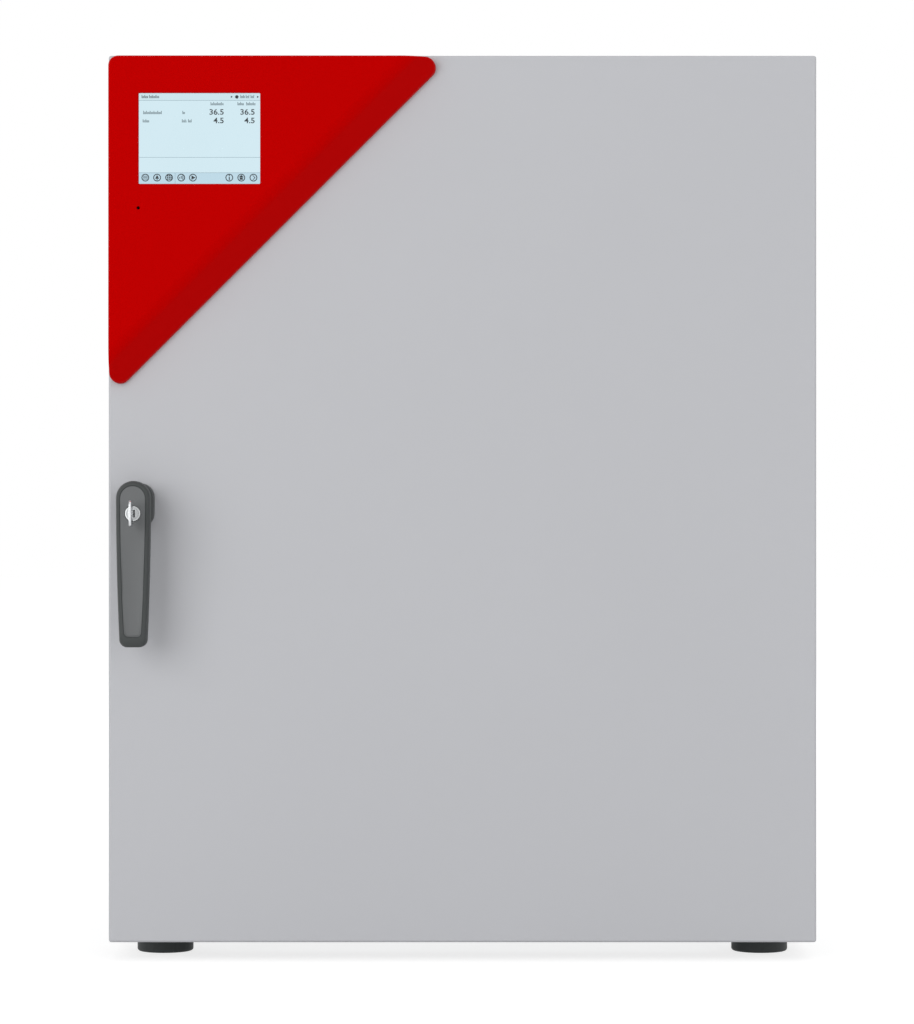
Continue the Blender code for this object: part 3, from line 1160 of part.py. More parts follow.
def make_glass_door(surfaces, glass_pivot, knob_pivot):
    """The glass inner door with its hinges, its turning knob and the catch on the recess wall."""
    recess_side = CHAMBER_SIDE + RECESS_MARGIN
    left = -recess_side + GLASS_CLEARANCE
    right = GLASS_PIVOT_X - GLASS_KNUCKLE_RADIUS - 0.0005
    low = CHAMBER_BOTTOM - RECESS_MARGIN + GLASS_CLEARANCE
    high = CHAMBER_TOP + RECESS_MARGIN - GLASS_CLEARANCE
    front = at_depth(GLASS_DEPTH)
    back = front + GLASS_THICKNESS
    place = (GLASS_PIVOT_X, at_depth(GLASS_PIVOT_DEPTH), CHAMBER_MIDDLE)
    sheet = prism(rectangle((left, low), (right, high), GLASS_CORNER), front, back, "Y")
    pane = piece("glass_pane", sheet, surfaces["clear_glass"], place)
    knob_centre = (left + KNOB_FROM_EDGE, HANDLE_Z)
    knob_hole = small_rod(knob_centre, KNOB_SPINDLE_RADIUS + SEAT_GAP, front - 0.002, back + 0.002, "Y")
    finish(carve(pane, knob_hole), glass_pivot)

    pivot_at = (GLASS_PIVOT_X, at_depth(GLASS_PIVOT_DEPTH))
    bore = GLASS_PIN_RADIUS + SEAT_GAP
    upper, lower = CHAMBER_TOP - GLASS_HINGE_INSET, CHAMBER_BOTTOM + GLASS_HINGE_INSET
    for name, height, way in (("upper", upper, 1), ("lower", lower, -1)):
        eye = eye_outline(pivot_at, 0.005, 0.0045, 0, recess_side - SEAT_GAP - GLASS_PIVOT_X)
        arm = prism(eye, *sorted((height, height + way * 0.006)), "Z")
        bracket = piece(f"glass_hinge_bracket_{name}", arm, surfaces["stainless"])
        pin_ends = sorted((height + way * 0.002, height - way * 0.020))
        pin = small_rod(pivot_at, GLASS_PIN_RADIUS, *pin_ends, "Z")
        finish(weld(bracket, pin))
        start, end = sorted((height - way * 0.0005, height - way * GLASS_HINGE_HEIGHT))
        plate_back = front - SEAT_GAP
        plate = box((right - 0.042, plate_back - GLASS_HINGE_SHEET, start), (right + 0.003, plate_back, end))
        hinge = piece(f"glass_hinge_plate_{name}", plate, surfaces["stainless"], (*pivot_at, height))
        knuckle = small_rod(pivot_at, GLASS_KNUCKLE_RADIUS, start, end, "Z")
        pin_hole = small_rod(pivot_at, bore, start - 0.001, end + 0.001, "Z")
        finish(carve(weld(hinge, knuckle), pin_hole), glass_pivot)

    before, behind, spindle = front - SEAT_GAP, back + SEAT_GAP, KNOB_SPINDLE_RADIUS
    rows = [(0.007, front - 0.0085), (0.0095, front - 0.0072), (0.0105, front - 0.0045), (0.011, before),
            (spindle, before), (spindle, behind), (0.0075, behind), (0.0075, back + 0.002),
            (0.006, back + 0.0028)]
    knob = piece("glass_knob", turned(rows, knob_centre, "Y"), surfaces["silicone_white"],
                 (knob_centre[0], front, knob_centre[1]))
    tab = eye_outline(knob_centre, 0.006, 0.0035, pi / 2, 0.0215)
    finish(weld(knob, prism(tab, front - 0.0028, front - 0.0006, "Y")), knob_pivot)

    wall = -recess_side + SEAT_GAP
    inner, lip = wall + SHEET, left - 0.0008
    near, far, rear = front - 0.007, front - 0.0045, front + 0.002
    outline = [(wall, near), (lip, near), (lip, far), (inner, far), (inner, rear), (wall, rear)]
    catch = prism(outline, HANDLE_Z - 0.009, HANDLE_Z + 0.009, "Z")
    finish(piece("glass_catch", catch, surfaces["stainless"]))


# Shelves and water pan

def make_shelf(name, level, surfaces, shelf_pivot):
    """A slotted sheet shelf that lies on two ribs, with its front and rear edges folded down."""
    side = CHAMBER_SIDE - SHELF_SIDE_GAP
    front, rear = at_depth(SHELF_FRONT), at_depth(CHAMBER_BACK - SHELF_REAR_GAP)
    clear = CHAMBER_SIDE - RIB_REACH - SHELF_EDGE
    web = (2 * clear - SLOT_COLUMNS * SLOT_WIDTH) / (SLOT_COLUMNS + 1)
    slot_depth = (rear - front - (SLOT_ROWS + 1) * SLOT_WEB_DEPTH) / SLOT_ROWS
    xs = [-side, -clear]
    for _ in range(SLOT_COLUMNS):
        xs += [xs[-1] + web, xs[-1] + web + SLOT_WIDTH]
    xs += [clear, side]
    ys = [front]
    for _ in range(SLOT_ROWS):
        ys += [ys[-1] + SLOT_WEB_DEPTH, ys[-1] + SLOT_WEB_DEPTH + slot_depth]
    ys.append(rear)
    sheet = bmesh.new()
    grid = [[sheet.verts.new((x, y, level)) for y in ys] for x in xs]
    for i in range(len(xs) - 1):
        for j in range(len(ys) - 1):
            slotted = 1 < i < len(xs) - 2 and i % 2 == 0 and j % 2 == 1
            if not slotted:
                sheet.faces.new((grid[i][j], grid[i + 1][j], grid[i + 1][j + 1], grid[i][j + 1]))
    for j in (0, len(ys) - 1):
        row = [grid[i][j] for i in range(1, len(xs) - 1)]
        edges = [sheet.edges.get((a, b)) for a, b in zip(row, row[1:])]
        grown = bmesh.ops.extrude_edge_only(sheet, edges=edges)["geom"]
        lower = [item for item in grown if isinstance(item, bmesh.types.BMVert)]
        bmesh.ops.translate(sheet, verts=lower, vec=(0, 0, -SHELF_LIP))
    bmesh.ops.recalc_face_normals(sheet, faces=sheet.faces)
    shelf = piece(f"shelf_{name}", sheet, surfaces["stainless"], (0, front, level))
    thicken = shelf.modifiers.new("sheet", "SOLIDIFY")
    thicken.thickness = SHELF_SHEET
    thicken.offset = 0
    thicken.use_even_offset = True
    finish(shelf, shelf_pivot)


def make_pan(surfaces, pan_pivot):
    """The water pan: a drawn open tray on the chamber floor."""
    side = CHAMBER_SIDE - PAN_SIDE_GAP
    front, rear = at_depth(PAN_FRONT), at_depth(PAN_FRONT + PAN_DEPTH)
    floor = CHAMBER_BOTTOM + SEAT_GAP
    shell = tray((-side, front), (side, rear), 0.020, floor, floor + PAN_HEIGHT, "Z")
    finish(piece("water_pan", shell, surfaces["stainless"], (0, front, floor)), pan_pivot)


# Assembly

def build():
    """Empty the scene, then make every sub-part in the order in which it is assembled."""
    for item in list(bpy.data.objects):
        bpy.data.objects.remove(item)
    surfaces = make_materials()

    door_pivot = pivot("door_axis", (HINGE_X, at_depth(HINGE_DEPTH), CHAMBER_MIDDLE))
    handle_pivot = pivot("handle_axis", (HANDLE_X, at_depth(LEVER_BACK), HANDLE_Z), door_pivot)
    lock_pivot = pivot("lock_axis", (HANDLE_X, at_depth(LEVER_FRONT), HANDLE_Z), handle_pivot)
    key_pivot = pivot("key_guide", (HANDLE_X, at_depth(LEVER_FRONT), HANDLE_Z), lock_pivot)
    glass_pivot = pivot("glass_axis", (GLASS_PIVOT_X, at_depth(GLASS_PIVOT_DEPTH), CHAMBER_MIDDLE))
    knob_pivot = pivot("knob_axis", (-CHAMBER_SIDE + 0.008, at_depth(GLASS_DEPTH), HANDLE_Z), glass_pivot)
    fan_pivot = pivot("fan_axis", (0, at_depth(CHAMBER_BACK), FAN_Z))
    rocker_pivot = pivot("rocker_axis", (ROCKER_X, at_depth(CABINET_DEPTH), SERVICE_Z))
    plug_pivot = pivot("plug_guide", (PORT_X, at_depth(CABINET_DEPTH), PORT_Z))

    make_casing(surfaces)
    make_feet(surfaces)
    make_front_frame(surfaces)
    make_chamber(surfaces)
    make_insulation(surfaces)
    make_rear_panel(surfaces)
    make_seals(surfaces)
    make_sensors(surfaces)
    make_access_port(surfaces, plug_pivot)
    make_gas_line(surfaces)
    make_power_inlet(surfaces, rocker_pivot)
    make_fan(surfaces, fan_pivot)
    make_main_board(surfaces)
    make_door(surfaces, door_pivot)
    make_hinges(surfaces, door_pivot)
    make_panel(surfaces, door_pivot)
    make_handle(surfaces, door_pivot, handle_pivot)
    make_keeper(surfaces)
    make_lock(surfaces, lock_pivot, key_pivot)
    make_glass_door(surfaces, glass_pivot, knob_pivot)
    for name, rib in SHELF_RIBS.items():
        level = CHAMBER_BOTTOM + FIRST_RIB + rib * RIB_PITCH + SEAT_GAP + SHELF_SHEET / 2
        guide = pivot(f"shelf_{name}_guide", (0, at_depth(SHELF_FRONT), level))
        make_shelf(name, level, surfaces, guide)
    make_pan(surfaces, pivot("pan_guide", (0, at_depth(PAN_FRONT), CHAMBER_BOTTOM)))


build()
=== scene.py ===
"""Looks of a bench carbon dioxide incubator: its finishes, fine shells, small parts and the studio.

Units are metres, +Z is up and the doors face -Y. Places that a neighbour shares come from the frame.
"""

import logging
import math
from dataclasses import dataclass, field
from enum import Enum
from typing import Callable, Optional, Sequence

import bmesh
import bpy
from mathutils import Matrix, Vector


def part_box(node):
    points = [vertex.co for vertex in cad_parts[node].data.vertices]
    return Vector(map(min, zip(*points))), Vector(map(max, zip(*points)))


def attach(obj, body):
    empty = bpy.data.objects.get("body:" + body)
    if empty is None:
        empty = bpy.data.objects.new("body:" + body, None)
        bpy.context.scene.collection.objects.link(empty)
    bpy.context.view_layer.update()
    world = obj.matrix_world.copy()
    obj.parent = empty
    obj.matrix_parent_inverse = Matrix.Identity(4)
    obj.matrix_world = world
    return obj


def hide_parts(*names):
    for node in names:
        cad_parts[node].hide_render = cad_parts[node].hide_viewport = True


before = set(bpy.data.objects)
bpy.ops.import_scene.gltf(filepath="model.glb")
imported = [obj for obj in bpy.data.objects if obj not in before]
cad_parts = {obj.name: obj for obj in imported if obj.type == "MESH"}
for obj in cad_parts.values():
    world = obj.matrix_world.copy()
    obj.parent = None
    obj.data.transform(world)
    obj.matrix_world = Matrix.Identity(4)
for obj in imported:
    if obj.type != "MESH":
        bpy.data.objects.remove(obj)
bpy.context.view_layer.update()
LOG = logging.getLogger("incubator")

SEAT_GAP = 0.0003
ARC_STEPS = 8
BEND_STEPS = 4
TURN_STEPS = 64
SMALL_TURN_STEPS = 32
MERGE_DISTANCE = 0.000002
LEAST_CORNER = 0.0003
CUT_OVER = 0.002
SHARP_ANGLE = math.radians(35)
FLAT_ANGLE = math.radians(0.5)
WHITE = (1.0, 1.0, 1.0, 1.0)
BLACK = (0.0, 0.0, 0.0, 1.0)

Colour = tuple[float, float, float, float]
Point = tuple[float, float]
Solid = bmesh.types.BMesh
Socket = bpy.types.NodeSocket


class Axis(Enum):
    """The three directions of the frame."""

    X = (1.0, 0.0, 0.0)
    Y = (0.0, 1.0, 0.0)
    Z = (0.0, 0.0, 1.0)

    @property
    def way(self) -> Vector:
        """The unit vector along this axis."""
        return Vector(self.value)


class Body(Enum):
    """The bodies that pieces ride on."""

    CABINET = "cabinet"
    OUTER_DOOR = "outer_door"
    HANDLE = "handle"
    LOCK = "lock"
    KEY = "key"
    GLASS_DOOR = "glass_door"
    GLASS_KNOB = "glass_door_knob"
    LOWER_SHELF = "lower_shelf"
    MIDDLE_SHELF = "middle_shelf"
    UPPER_SHELF = "upper_shelf"
    PAN = "pan"
    FAN = "fan"
    SWITCH = "mains_switch"
    STOPPER = "stopper"


class Slot(Enum):
    """The material slots."""

    CABINET_PAINT = "cabinet_paint"
    DOOR_PAINT = "door_paint"
    PANEL_RED = "panel_red"
    HANDLE_GREY = "handle_grey"
    STAINLESS = "stainless"
    ZINC_SHEET = "zinc_sheet"
    RUBBER_BLACK = "rubber_black"
    SILICONE_WHITE = "silicone_white"
    CLEAR_GLASS = "clear_glass"
    FOAM = "foam"
    CIRCUIT_BOARD = "circuit_board"
    DARK_PLASTIC = "dark_plastic"
    LOCK_CHROME = "lock_chrome"
    SCREEN = "screen"
    BRASS = "brass"
    MOTOR_GREY = "motor_grey"


def tone(red: float, green: float, blue: float) -> Colour:
    """A display colour of 0 to 255 as the linear colour that a shader takes.

    Args:
        red: the red level.
        green: the green level.
        blue: the blue level.

    Returns:
        Linear red, green and blue with full alpha.
    """
    def linear(level: float) -> float:
        """One level as a linear share."""
        share = level / 255
        return share / 12.92 if share <= 0.04045 else ((share + 0.055) / 1.055) ** 2.4

    return (linear(red), linear(green), linear(blue), 1.0)


def shaded(colour: Colour, factor: float) -> Colour:
    """The same colour, darker or lighter by a factor."""
    return tuple(min(level * factor, 1.0) for level in colour[:3]) + (1.0,)


# Shader groups

class Bench:
    """Adds nodes to one tree and joins them."""

    def __init__(self, tree: bpy.types.NodeTree) -> None:
        """Keep the tree to work on."""
        self.tree = tree

    def add(self, kind: str, inputs: Optional[dict] = None, **settings: object) -> bpy.types.Node:
        """Add a node.

        Args:
            kind: the node's type name.
            inputs: socket names or numbers, each with a value or a socket to join.
            settings: attributes of the node itself.

        Returns:
            The new node.
        """
        node = self.tree.nodes.new(kind)
        for name, value in settings.items():
            setattr(node, name, value)
        self.feed(node, inputs or {})
        return node

    def feed(self, node: bpy.types.Node, inputs: dict) -> None:
        """Set a node's inputs.

        Args:
            node: the node.
            inputs: socket names or numbers, each with a value or a socket to join.
        """
        for name, value in inputs.items():
            if isinstance(value, Socket):
                self.tree.links.new(value, node.inputs[name])
            else:
                node.inputs[name].default_value = value

    def maths(self, operation: str, *values: object) -> Socket:
        """The result of a Math node on values or sockets."""
        return self.add("ShaderNodeMath", dict(enumerate(values)), operation=operation).outputs[0]

    def mixed(self, share: Socket, first: object, second: object) -> Socket:
        """A colour between two colours or colour sockets."""
        node = self.add("ShaderNodeMix", {0: share, 6: first, 7: second}, data_type="RGBA")
        return node.outputs[2]

    def spread(self, value: Socket, low: float, high: float) -> Socket:
        """A 0 to 1 value spread over another range."""
        node = self.add("ShaderNodeMapRange", {"Value": value, "To Min": low, "To Max": high})
        return node.outputs["Result"]


def make_group(name: str, inputs: dict[str, float], outputs: Sequence[str],
               fill: Callable[[Bench, bpy.types.Node], dict]) -> bpy.types.NodeTree:
    """Build a shader group once.

    Args:
        name: the group's name.
        inputs: its number inputs, each with a default value.
        outputs: its number outputs.
        fill: adds the inner nodes, given a bench and the input node, and returns a socket for each output.

    Returns:
        The group's node tree.
    """
    if name in bpy.data.node_groups:
        return bpy.data.node_groups[name]
    tree = bpy.data.node_groups.new(name, "ShaderNodeTree")
    for label, value in inputs.items():
        socket = tree.interface.new_socket(name=label, in_out="INPUT", socket_type="NodeSocketFloat")
        socket.default_value = value
    for label in outputs:
        tree.interface.new_socket(name=label, in_out="OUTPUT", socket_type="NodeSocketFloat")
    bench = Bench(tree)
    entry = bench.add("NodeGroupInput")
    bench.add("NodeGroupOutput", fill(bench, entry))
    return tree


def grain_nodes(bench: Bench, entry: bpy.types.Node) -> dict:
    """Fine relief and broad mottling of a sprayed, moulded or cast surface.

    Args:
        bench: the group's bench.
        entry: the group's input node.

    Returns:
        A socket for each output.
    """
    place = bench.add("ShaderNodeTexCoord").outputs["Object"]
    fine = bench.add("ShaderNodeTexNoise", {"Vector": place, "Scale": entry.outputs["Grain Scale"],
                                            "Detail": 3.0, "Roughness": 0.6})
    broad = bench.add("ShaderNodeTexNoise", {"Vector": place, "Scale": entry.outputs["Mottle Scale"],
                                             "Detail": 2.0, "Roughness": 0.5})
    return {"Height": fine.outputs[0], "Mottle": broad.outputs[0]}


def edge_nodes(bench: Bench, entry: bpy.types.Node) -> dict:
    """A mask that is high on outer edges, where a finish is rubbed.

    Args:
        bench: the group's bench.
        entry: the group's input node.

    Returns:
        A socket for the output.
    """
    gain = 8.0
    soft = bench.add("ShaderNodeBevel", {"Radius": entry.outputs["Reach"]}, samples=4).outputs[0]
    plain = bench.add("ShaderNodeNewGeometry").outputs["Normal"]
    match = bench.add("ShaderNodeVectorMath", {0: soft, 1: plain}, operation="DOT_PRODUCT").outputs["Value"]
    turn = bench.maths("MULTIPLY", bench.maths("SUBTRACT", 1.0, match), gain)
    place = bench.add("ShaderNodeTexCoord").outputs["Object"]
    noise = bench.add("ShaderNodeTexNoise", {"Vector": place, "Scale": 60.0, "Detail": 2.0}).outputs[0]
    mask = bench.maths("MULTIPLY", turn, bench.spread(noise, 0.4, 1.3))
    return {"Mask": bench.maths("MINIMUM", bench.maths("MULTIPLY", mask, entry.outputs["Amount"]), 1.0)}


def brushed_nodes(bench: Bench, entry: bpy.types.Node) -> dict:
    """Long fine scratches of a brushed or rolled metal sheet, along the direction that is stretched.

    Args:
        bench: the group's bench.
        entry: the group's input node.

    Returns:
        A socket for each output.
    """
    place = bench.add("ShaderNodeTexCoord").outputs["Object"]
    scale = bench.add("ShaderNodeCombineXYZ", {0: entry.outputs["Along X"], 1: entry.outputs["Along Y"],
                                               2: entry.outputs["Along Z"]})
    drawn = bench.add("ShaderNodeVectorMath", {0: place, 1: scale.outputs[0]}, operation="MULTIPLY")
    streaks = bench.add("ShaderNodeTexNoise", {"Vector": drawn.outputs[0], "Scale": 1.0, "Detail": 4.0,
                                               "Roughness": 0.7})
    broad = bench.add("ShaderNodeTexNoise", {"Vector": place, "Scale": 5.0, "Detail": 2.0})
    return {"Streaks": streaks.outputs[0], "Mottle": broad.outputs[0]}


def grain_group() -> bpy.types.NodeTree:
    """The shared group of relief and mottling."""
    return make_group("fine_grain", {"Grain Scale": 600.0, "Mottle Scale": 6.0}, ("Height", "Mottle"), grain_nodes)


def edge_group() -> bpy.types.NodeTree:
    """The shared group of rubbed edges."""
    return make_group("rubbed_edges", {"Reach": 0.0015, "Amount": 1.0}, ("Mask",), edge_nodes)


def brushed_group() -> bpy.types.NodeTree:
    """The shared group of brushed metal."""
    return make_group("brushed_metal", {"Along X": 900.0, "Along Y": 900.0, "Along Z": 900.0},
                      ("Streaks", "Mottle"), brushed_nodes)


def new_material(name: str, constants: dict) -> tuple[bpy.types.Material, Bench, bpy.types.Node]:
    """Start a material.

    Args:
        name: the material's name.
        constants: plain values of the Principled BSDF's sockets.

    Returns:
        The material, a bench on its tree and its Principled BSDF.
    """
    material = bpy.data.materials.new(name)
    material.use_nodes = True
    shader = material.node_tree.nodes["Principled BSDF"]
    for socket, value in constants.items():
        shader.inputs[socket].default_value = value
    return material, Bench(material.node_tree), shader


# Finishes

@dataclass(frozen=True)
class Finish:
    """A finish for one material slot."""

    name: str
    slot: Slot
    colour: Colour

    def shades(self, share: float) -> tuple[Colour, Colour]:
        """The colour darker and lighter by a share."""
        return shaded(self.colour, 1 - share), shaded(self.colour, 1 + share)

    def build(self) -> bpy.types.Material:
        """Make the material."""
        raise NotImplementedError


@dataclass(frozen=True)
class CoatedFinish(Finish):
    """Powder paint, moulded plastic or rubber: fine relief, faint mottling and rubbed edges."""

    roughness: float
    specular: float = 0.35
    tint: Colour = WHITE
    grain_scale: float = 700.0
    grain_depth: float = 0.00001
    mottle_scale: float = 5.0
    mottle: float = 0.03
    edge: float = 0.12
    edge_factor: float = 1.25
    unevenness: float = 0.04

    def build(self) -> bpy.types.Material:
        """Make the material.

        Returns:
            The material.
        """
        material, bench, shader = new_material(self.name, {"Specular IOR Level": self.specular,
                                                           "Specular Tint": self.tint})
        grain = bench.add("ShaderNodeGroup", {"Grain Scale": self.grain_scale, "Mottle Scale": self.mottle_scale},
                          node_tree=grain_group())
        edges = bench.add("ShaderNodeGroup", {"Amount": self.edge}, node_tree=edge_group())
        mottle = grain.outputs["Mottle"]
        body = bench.mixed(mottle, *self.shades(self.mottle))
        bump = bench.add("ShaderNodeBump", {"Height": grain.outputs["Height"], "Distance": self.grain_depth,
                                            "Strength": 1.0})
        bench.feed(shader, {
            "Base Color": bench.mixed(edges.outputs["Mask"], body, shaded(self.colour, self.edge_factor)),
            "Roughness": bench.spread(mottle, self.roughness - self.unevenness, self.roughness + self.unevenness),
            "Normal": bump.outputs[0]})
        return material


@dataclass(frozen=True)
class MetalFinish(Finish):
    """Brushed, rolled or plated metal, with its scratches along one direction."""

    roughness: float
    along: Axis = Axis.X
    streak_scale: float = 1100.0
    stretch: float = 60.0
    contrast: float = 0.08
    depth: float = 0.000002
    smoother: float = 0.06
    rougher: float = 0.08

    def build(self) -> bpy.types.Material:
        """Make the material.

        Returns:
            The material.
        """
        material, bench, shader = new_material(self.name, {"Metallic": 1.0})
        group = bench.add("ShaderNodeGroup", node_tree=brushed_group())
        for axis in Axis:
            scale = self.streak_scale / (self.stretch if axis is self.along else 1.0)
            group.inputs[f"Along {axis.name}"].default_value = scale
        streaks = group.outputs["Streaks"]
        body = bench.mixed(streaks, *self.shades(self.contrast))
        bump = bench.add("ShaderNodeBump", {"Height": streaks, "Distance": self.depth, "Strength": 1.0})
        bench.feed(shader, {
            "Base Color": bench.mixed(group.outputs["Mottle"], body, self.colour),
            "Roughness": bench.spread(streaks, self.roughness - self.smoother, self.roughness + self.rougher),
            "Normal": bump.outputs[0]})
        return material


@dataclass(frozen=True)
class SpangledFinish(Finish):
    """Hot-dip galvanised sheet with its crystal spangle."""

    roughness: float = 0.42
    crystal_scale: float = 70.0
    dark: float = 0.88
    bright: float = 1.1
    smoother: float = 0.10
    rougher: float = 0.08

    def build(self) -> bpy.types.Material:
        """Make the material.

        Returns:
            The material.
        """
        material, bench, shader = new_material(self.name, {"Metallic": 1.0})
        place = bench.add("ShaderNodeTexCoord").outputs["Object"]
        crystals = bench.add("ShaderNodeTexVoronoi", {"Vector": place, "Scale": self.crystal_scale})
        grey = bench.add("ShaderNodeRGBToBW", {0: crystals.outputs["Color"]}).outputs[0]
        bench.feed(shader, {
            "Base Color": bench.mixed(grey, shaded(self.colour, self.dark), shaded(self.colour, self.bright)),
            "Roughness": bench.spread(grey, self.roughness - self.smoother, self.roughness + self.rougher)})
        return material


@dataclass(frozen=True)
class GlassFinish(Finish):
    """Clear toughened glass with the faintest smears."""

    refraction: float = 1.45
    specular: float = 0.5
    smear_scale: float = 9.0
    smear: float = 0.025

    def build(self) -> bpy.types.Material:
        """Make the material.

        Returns:
            The material.
        """
        material, bench, shader = new_material(self.name, {"Transmission Weight": 1.0, "IOR": self.refraction,
                                                           "Specular IOR Level": self.specular,
                                                           "Base Color": self.colour})
        grain = bench.add("ShaderNodeGroup", {"Mottle Scale": self.smear_scale}, node_tree=grain_group())
        bench.feed(shader, {"Roughness": bench.spread(grain.outputs["Mottle"], 0.0, self.smear)})
        return material


@dataclass(frozen=True)
class LitFinish(Finish):
    """A part of the display's picture: it glows evenly, with a faint unevenness of its back light."""

    unevenness: float = 0.015
    mottle_scale: float = 30.0

    def build(self) -> bpy.types.Material:
        """Make the material.

        Returns:
            The material.
        """
        material, bench, shader = new_material(self.name, {"Base Color": BLACK, "Roughness": 0.5,
                                                           "Specular IOR Level": 0.0, "Emission Strength": 1.0})
        grain = bench.add("ShaderNodeGroup", {"Mottle Scale": self.mottle_scale}, node_tree=grain_group())
        bench.feed(shader, {"Emission Color": bench.mixed(grain.outputs["Mottle"], *self.shades(self.unevenness))})
        return material


@dataclass(frozen=True)
class BoardFinish(Finish):
    """Green solder mask with copper tracks that show through it."""

    track_pitch: float = 260.0
    track_width: float = 0.03
    cell_factor: float = 0.8
    track_factor: float = 2.2

    def build(self) -> bpy.types.Material:
        """Make the material.

        Returns:
            The material.
        """
        material, bench, shader = new_material(self.name, {"Roughness": 0.35})
        place = bench.add("ShaderNodeTexCoord").outputs["Object"]
        cells = bench.add("ShaderNodeTexBrick", {"Vector": place, "Scale": self.track_pitch,
                                                 "Mortar Size": self.track_width, "Color1": self.colour,
                                                 "Color2": shaded(self.colour, self.cell_factor),
                                                 "Mortar": shaded(self.colour, self.track_factor)})
        bench.feed(shader, {"Base Color": cells.outputs["Color"]})
        return material


DOOR_PAINT = CoatedFinish("door_paint", Slot.DOOR_PAINT, tone(190, 191, 195), 0.46, 0.25, mottle=0.012)
CABINET_PAINT = CoatedFinish("cabinet_paint", Slot.CABINET_PAINT, tone(188, 190, 194), 0.48, 0.25, mottle=0.012)
PANEL_RED = CoatedFinish("panel_red", Slot.PANEL_RED, tone(186, 1, 1), 0.42, 0.16, tone(220, 10, 10),
                         grain_scale=900.0, grain_depth=0.000006, mottle=0.01, edge=0.05, edge_factor=1.1)
# The lever's two greys are partly its own two-tone and partly painted light and shade: the border's dark grey is the
# shaded side of its shoulder, the face's paler grey its lit face. The rosette shares the border's grey.
LEVER_BORDER_PAINTED_SHADE = CoatedFinish("lever_border_painted_shade", Slot.HANDLE_GREY, tone(68, 71, 71), 0.50, 0.22, grain_scale=1100.0,
                            grain_depth=0.000015, mottle=0.04, edge=0.10)
LEVER_FACE_PAINTED_LIGHT = CoatedFinish("lever_face_painted_light", Slot.HANDLE_GREY, tone(106, 108, 109), 0.46, 0.22, grain_scale=1100.0,
                          grain_depth=0.000012, mottle=0.05, mottle_scale=12.0, edge=0.08)
RUBBER = CoatedFinish("rubber_black", Slot.RUBBER_BLACK, tone(62, 66, 66), 0.58, 0.30, grain_scale=900.0,
                      grain_depth=0.000018, mottle=0.08, mottle_scale=25.0, edge=0.15, edge_factor=1.5)
WHITE_SILICONE = CoatedFinish("silicone_white", Slot.SILICONE_WHITE, tone(226, 226, 222), 0.55, 0.3,
                              grain_depth=0.000008, edge=0.04, edge_factor=1.05)
DARK_PLASTIC = CoatedFinish("dark_plastic", Slot.DARK_PLASTIC, tone(42, 42, 45), 0.45, 0.3, grain_scale=1300.0,
                            grain_depth=0.000010, edge=0.12, edge_factor=1.6)
MARK_WHITE = CoatedFinish("mark_white", Slot.SILICONE_WHITE, tone(225, 225, 225), 0.5, 0.3, edge=0.0)
# Black that stands in for painted shade in the cooling slots and the keyway; on the display frame it is the frame's
# own black.
SHADE_BLACK = CoatedFinish("shade_black", Slot.DARK_PLASTIC, tone(16, 16, 17), 0.8, 0.1, edge=0.0)
FOAM = CoatedFinish("foam", Slot.FOAM, tone(214, 202, 170), 0.9, 0.1, grain_scale=420.0, grain_depth=0.0003,
                    mottle=0.08, mottle_scale=14.0, edge=0.0)
MOTOR_GREY = CoatedFinish("motor_grey", Slot.MOTOR_GREY, tone(120, 122, 125), 0.4, 0.5, mottle=0.05)
STAINLESS = MetalFinish("stainless", Slot.STAINLESS, tone(200, 200, 198), 0.30)
STAINLESS_DEEP = MetalFinish("stainless_deep", Slot.STAINLESS, tone(196, 196, 194), 0.34, Axis.Y)
STAINLESS_UPRIGHT = MetalFinish("stainless_upright", Slot.STAINLESS, tone(198, 198, 196), 0.32, Axis.Z)
PLATED_STEEL = MetalFinish("plated_steel", Slot.ZINC_SHEET, tone(188, 190, 192), 0.36, Axis.Z, 1600.0, 8.0, 0.05)
LOCK_METAL = MetalFinish("lock_metal", Slot.LOCK_CHROME, tone(196, 198, 199), 0.44, Axis.X, 2200.0, 4.0, 0.05)
KEY_METAL = MetalFinish("key_metal", Slot.LOCK_CHROME, tone(214, 216, 218), 0.26, Axis.Y, 2400.0, 12.0, 0.06)
BRASS = MetalFinish("brass", Slot.BRASS, tone(202, 170, 104), 0.28, Axis.Y, 1800.0, 6.0, 0.06)
GALVANISED = SpangledFinish("zinc_sheet", Slot.ZINC_SHEET, tone(184, 187, 190))
PANE_GLASS = GlassFinish("pane_glass", Slot.CLEAR_GLASS, tone(240, 250, 247))
TOUCH_GLASS = GlassFinish("touch_glass", Slot.SCREEN, tone(252, 254, 255), specular=0.35)
CIRCUIT_BOARD = BoardFinish("circuit_board", Slot.CIRCUIT_BOARD, tone(38, 112, 70))
SCREEN_FIELD = LitFinish("screen_field", Slot.SCREEN, tone(211, 234, 242))
SCREEN_HEADER = LitFinish("screen_header", Slot.SCREEN, tone(205, 229, 236))
SCREEN_BAR = LitFinish("screen_bar", Slot.SCREEN, tone(189, 217, 230))
SCREEN_RULE = LitFinish("screen_rule", Slot.SCREEN, tone(116, 142, 154))
SCREEN_FAINT = LitFinish("screen_faint", Slot.SCREEN, tone(70, 92, 100))
SCREEN_INK = LitFinish("screen_ink", Slot.SCREEN, tone(14, 32, 40))
SCREEN_ICON = LitFinish("screen_icon", Slot.SCREEN, tone(12, 36, 46))


# Shapes

@dataclass(frozen=True)
class Span:
    """The box of a node of the frame."""

    low: Vector
    high: Vector

    @property
    def centre(self) -> Vector:
        """The middle of the box."""
        return (self.low + self.high) / 2

    @property
    def size(self) -> Vector:
        """The box's three sizes."""
        return self.high - self.low

    @property
    def face(self) -> tuple[Point, Point]:
        """The lower and upper corner of the box in the XZ plane."""
        return (self.low.x, self.low.z), (self.high.x, self.high.z)

    @property
    def eye(self) -> Point:
        """The middle of the box in the XZ plane."""
        return self.centre.x, self.centre.z


def span(node: str) -> Span:
    """The box of a node by its name."""
    return Span(*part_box(node))


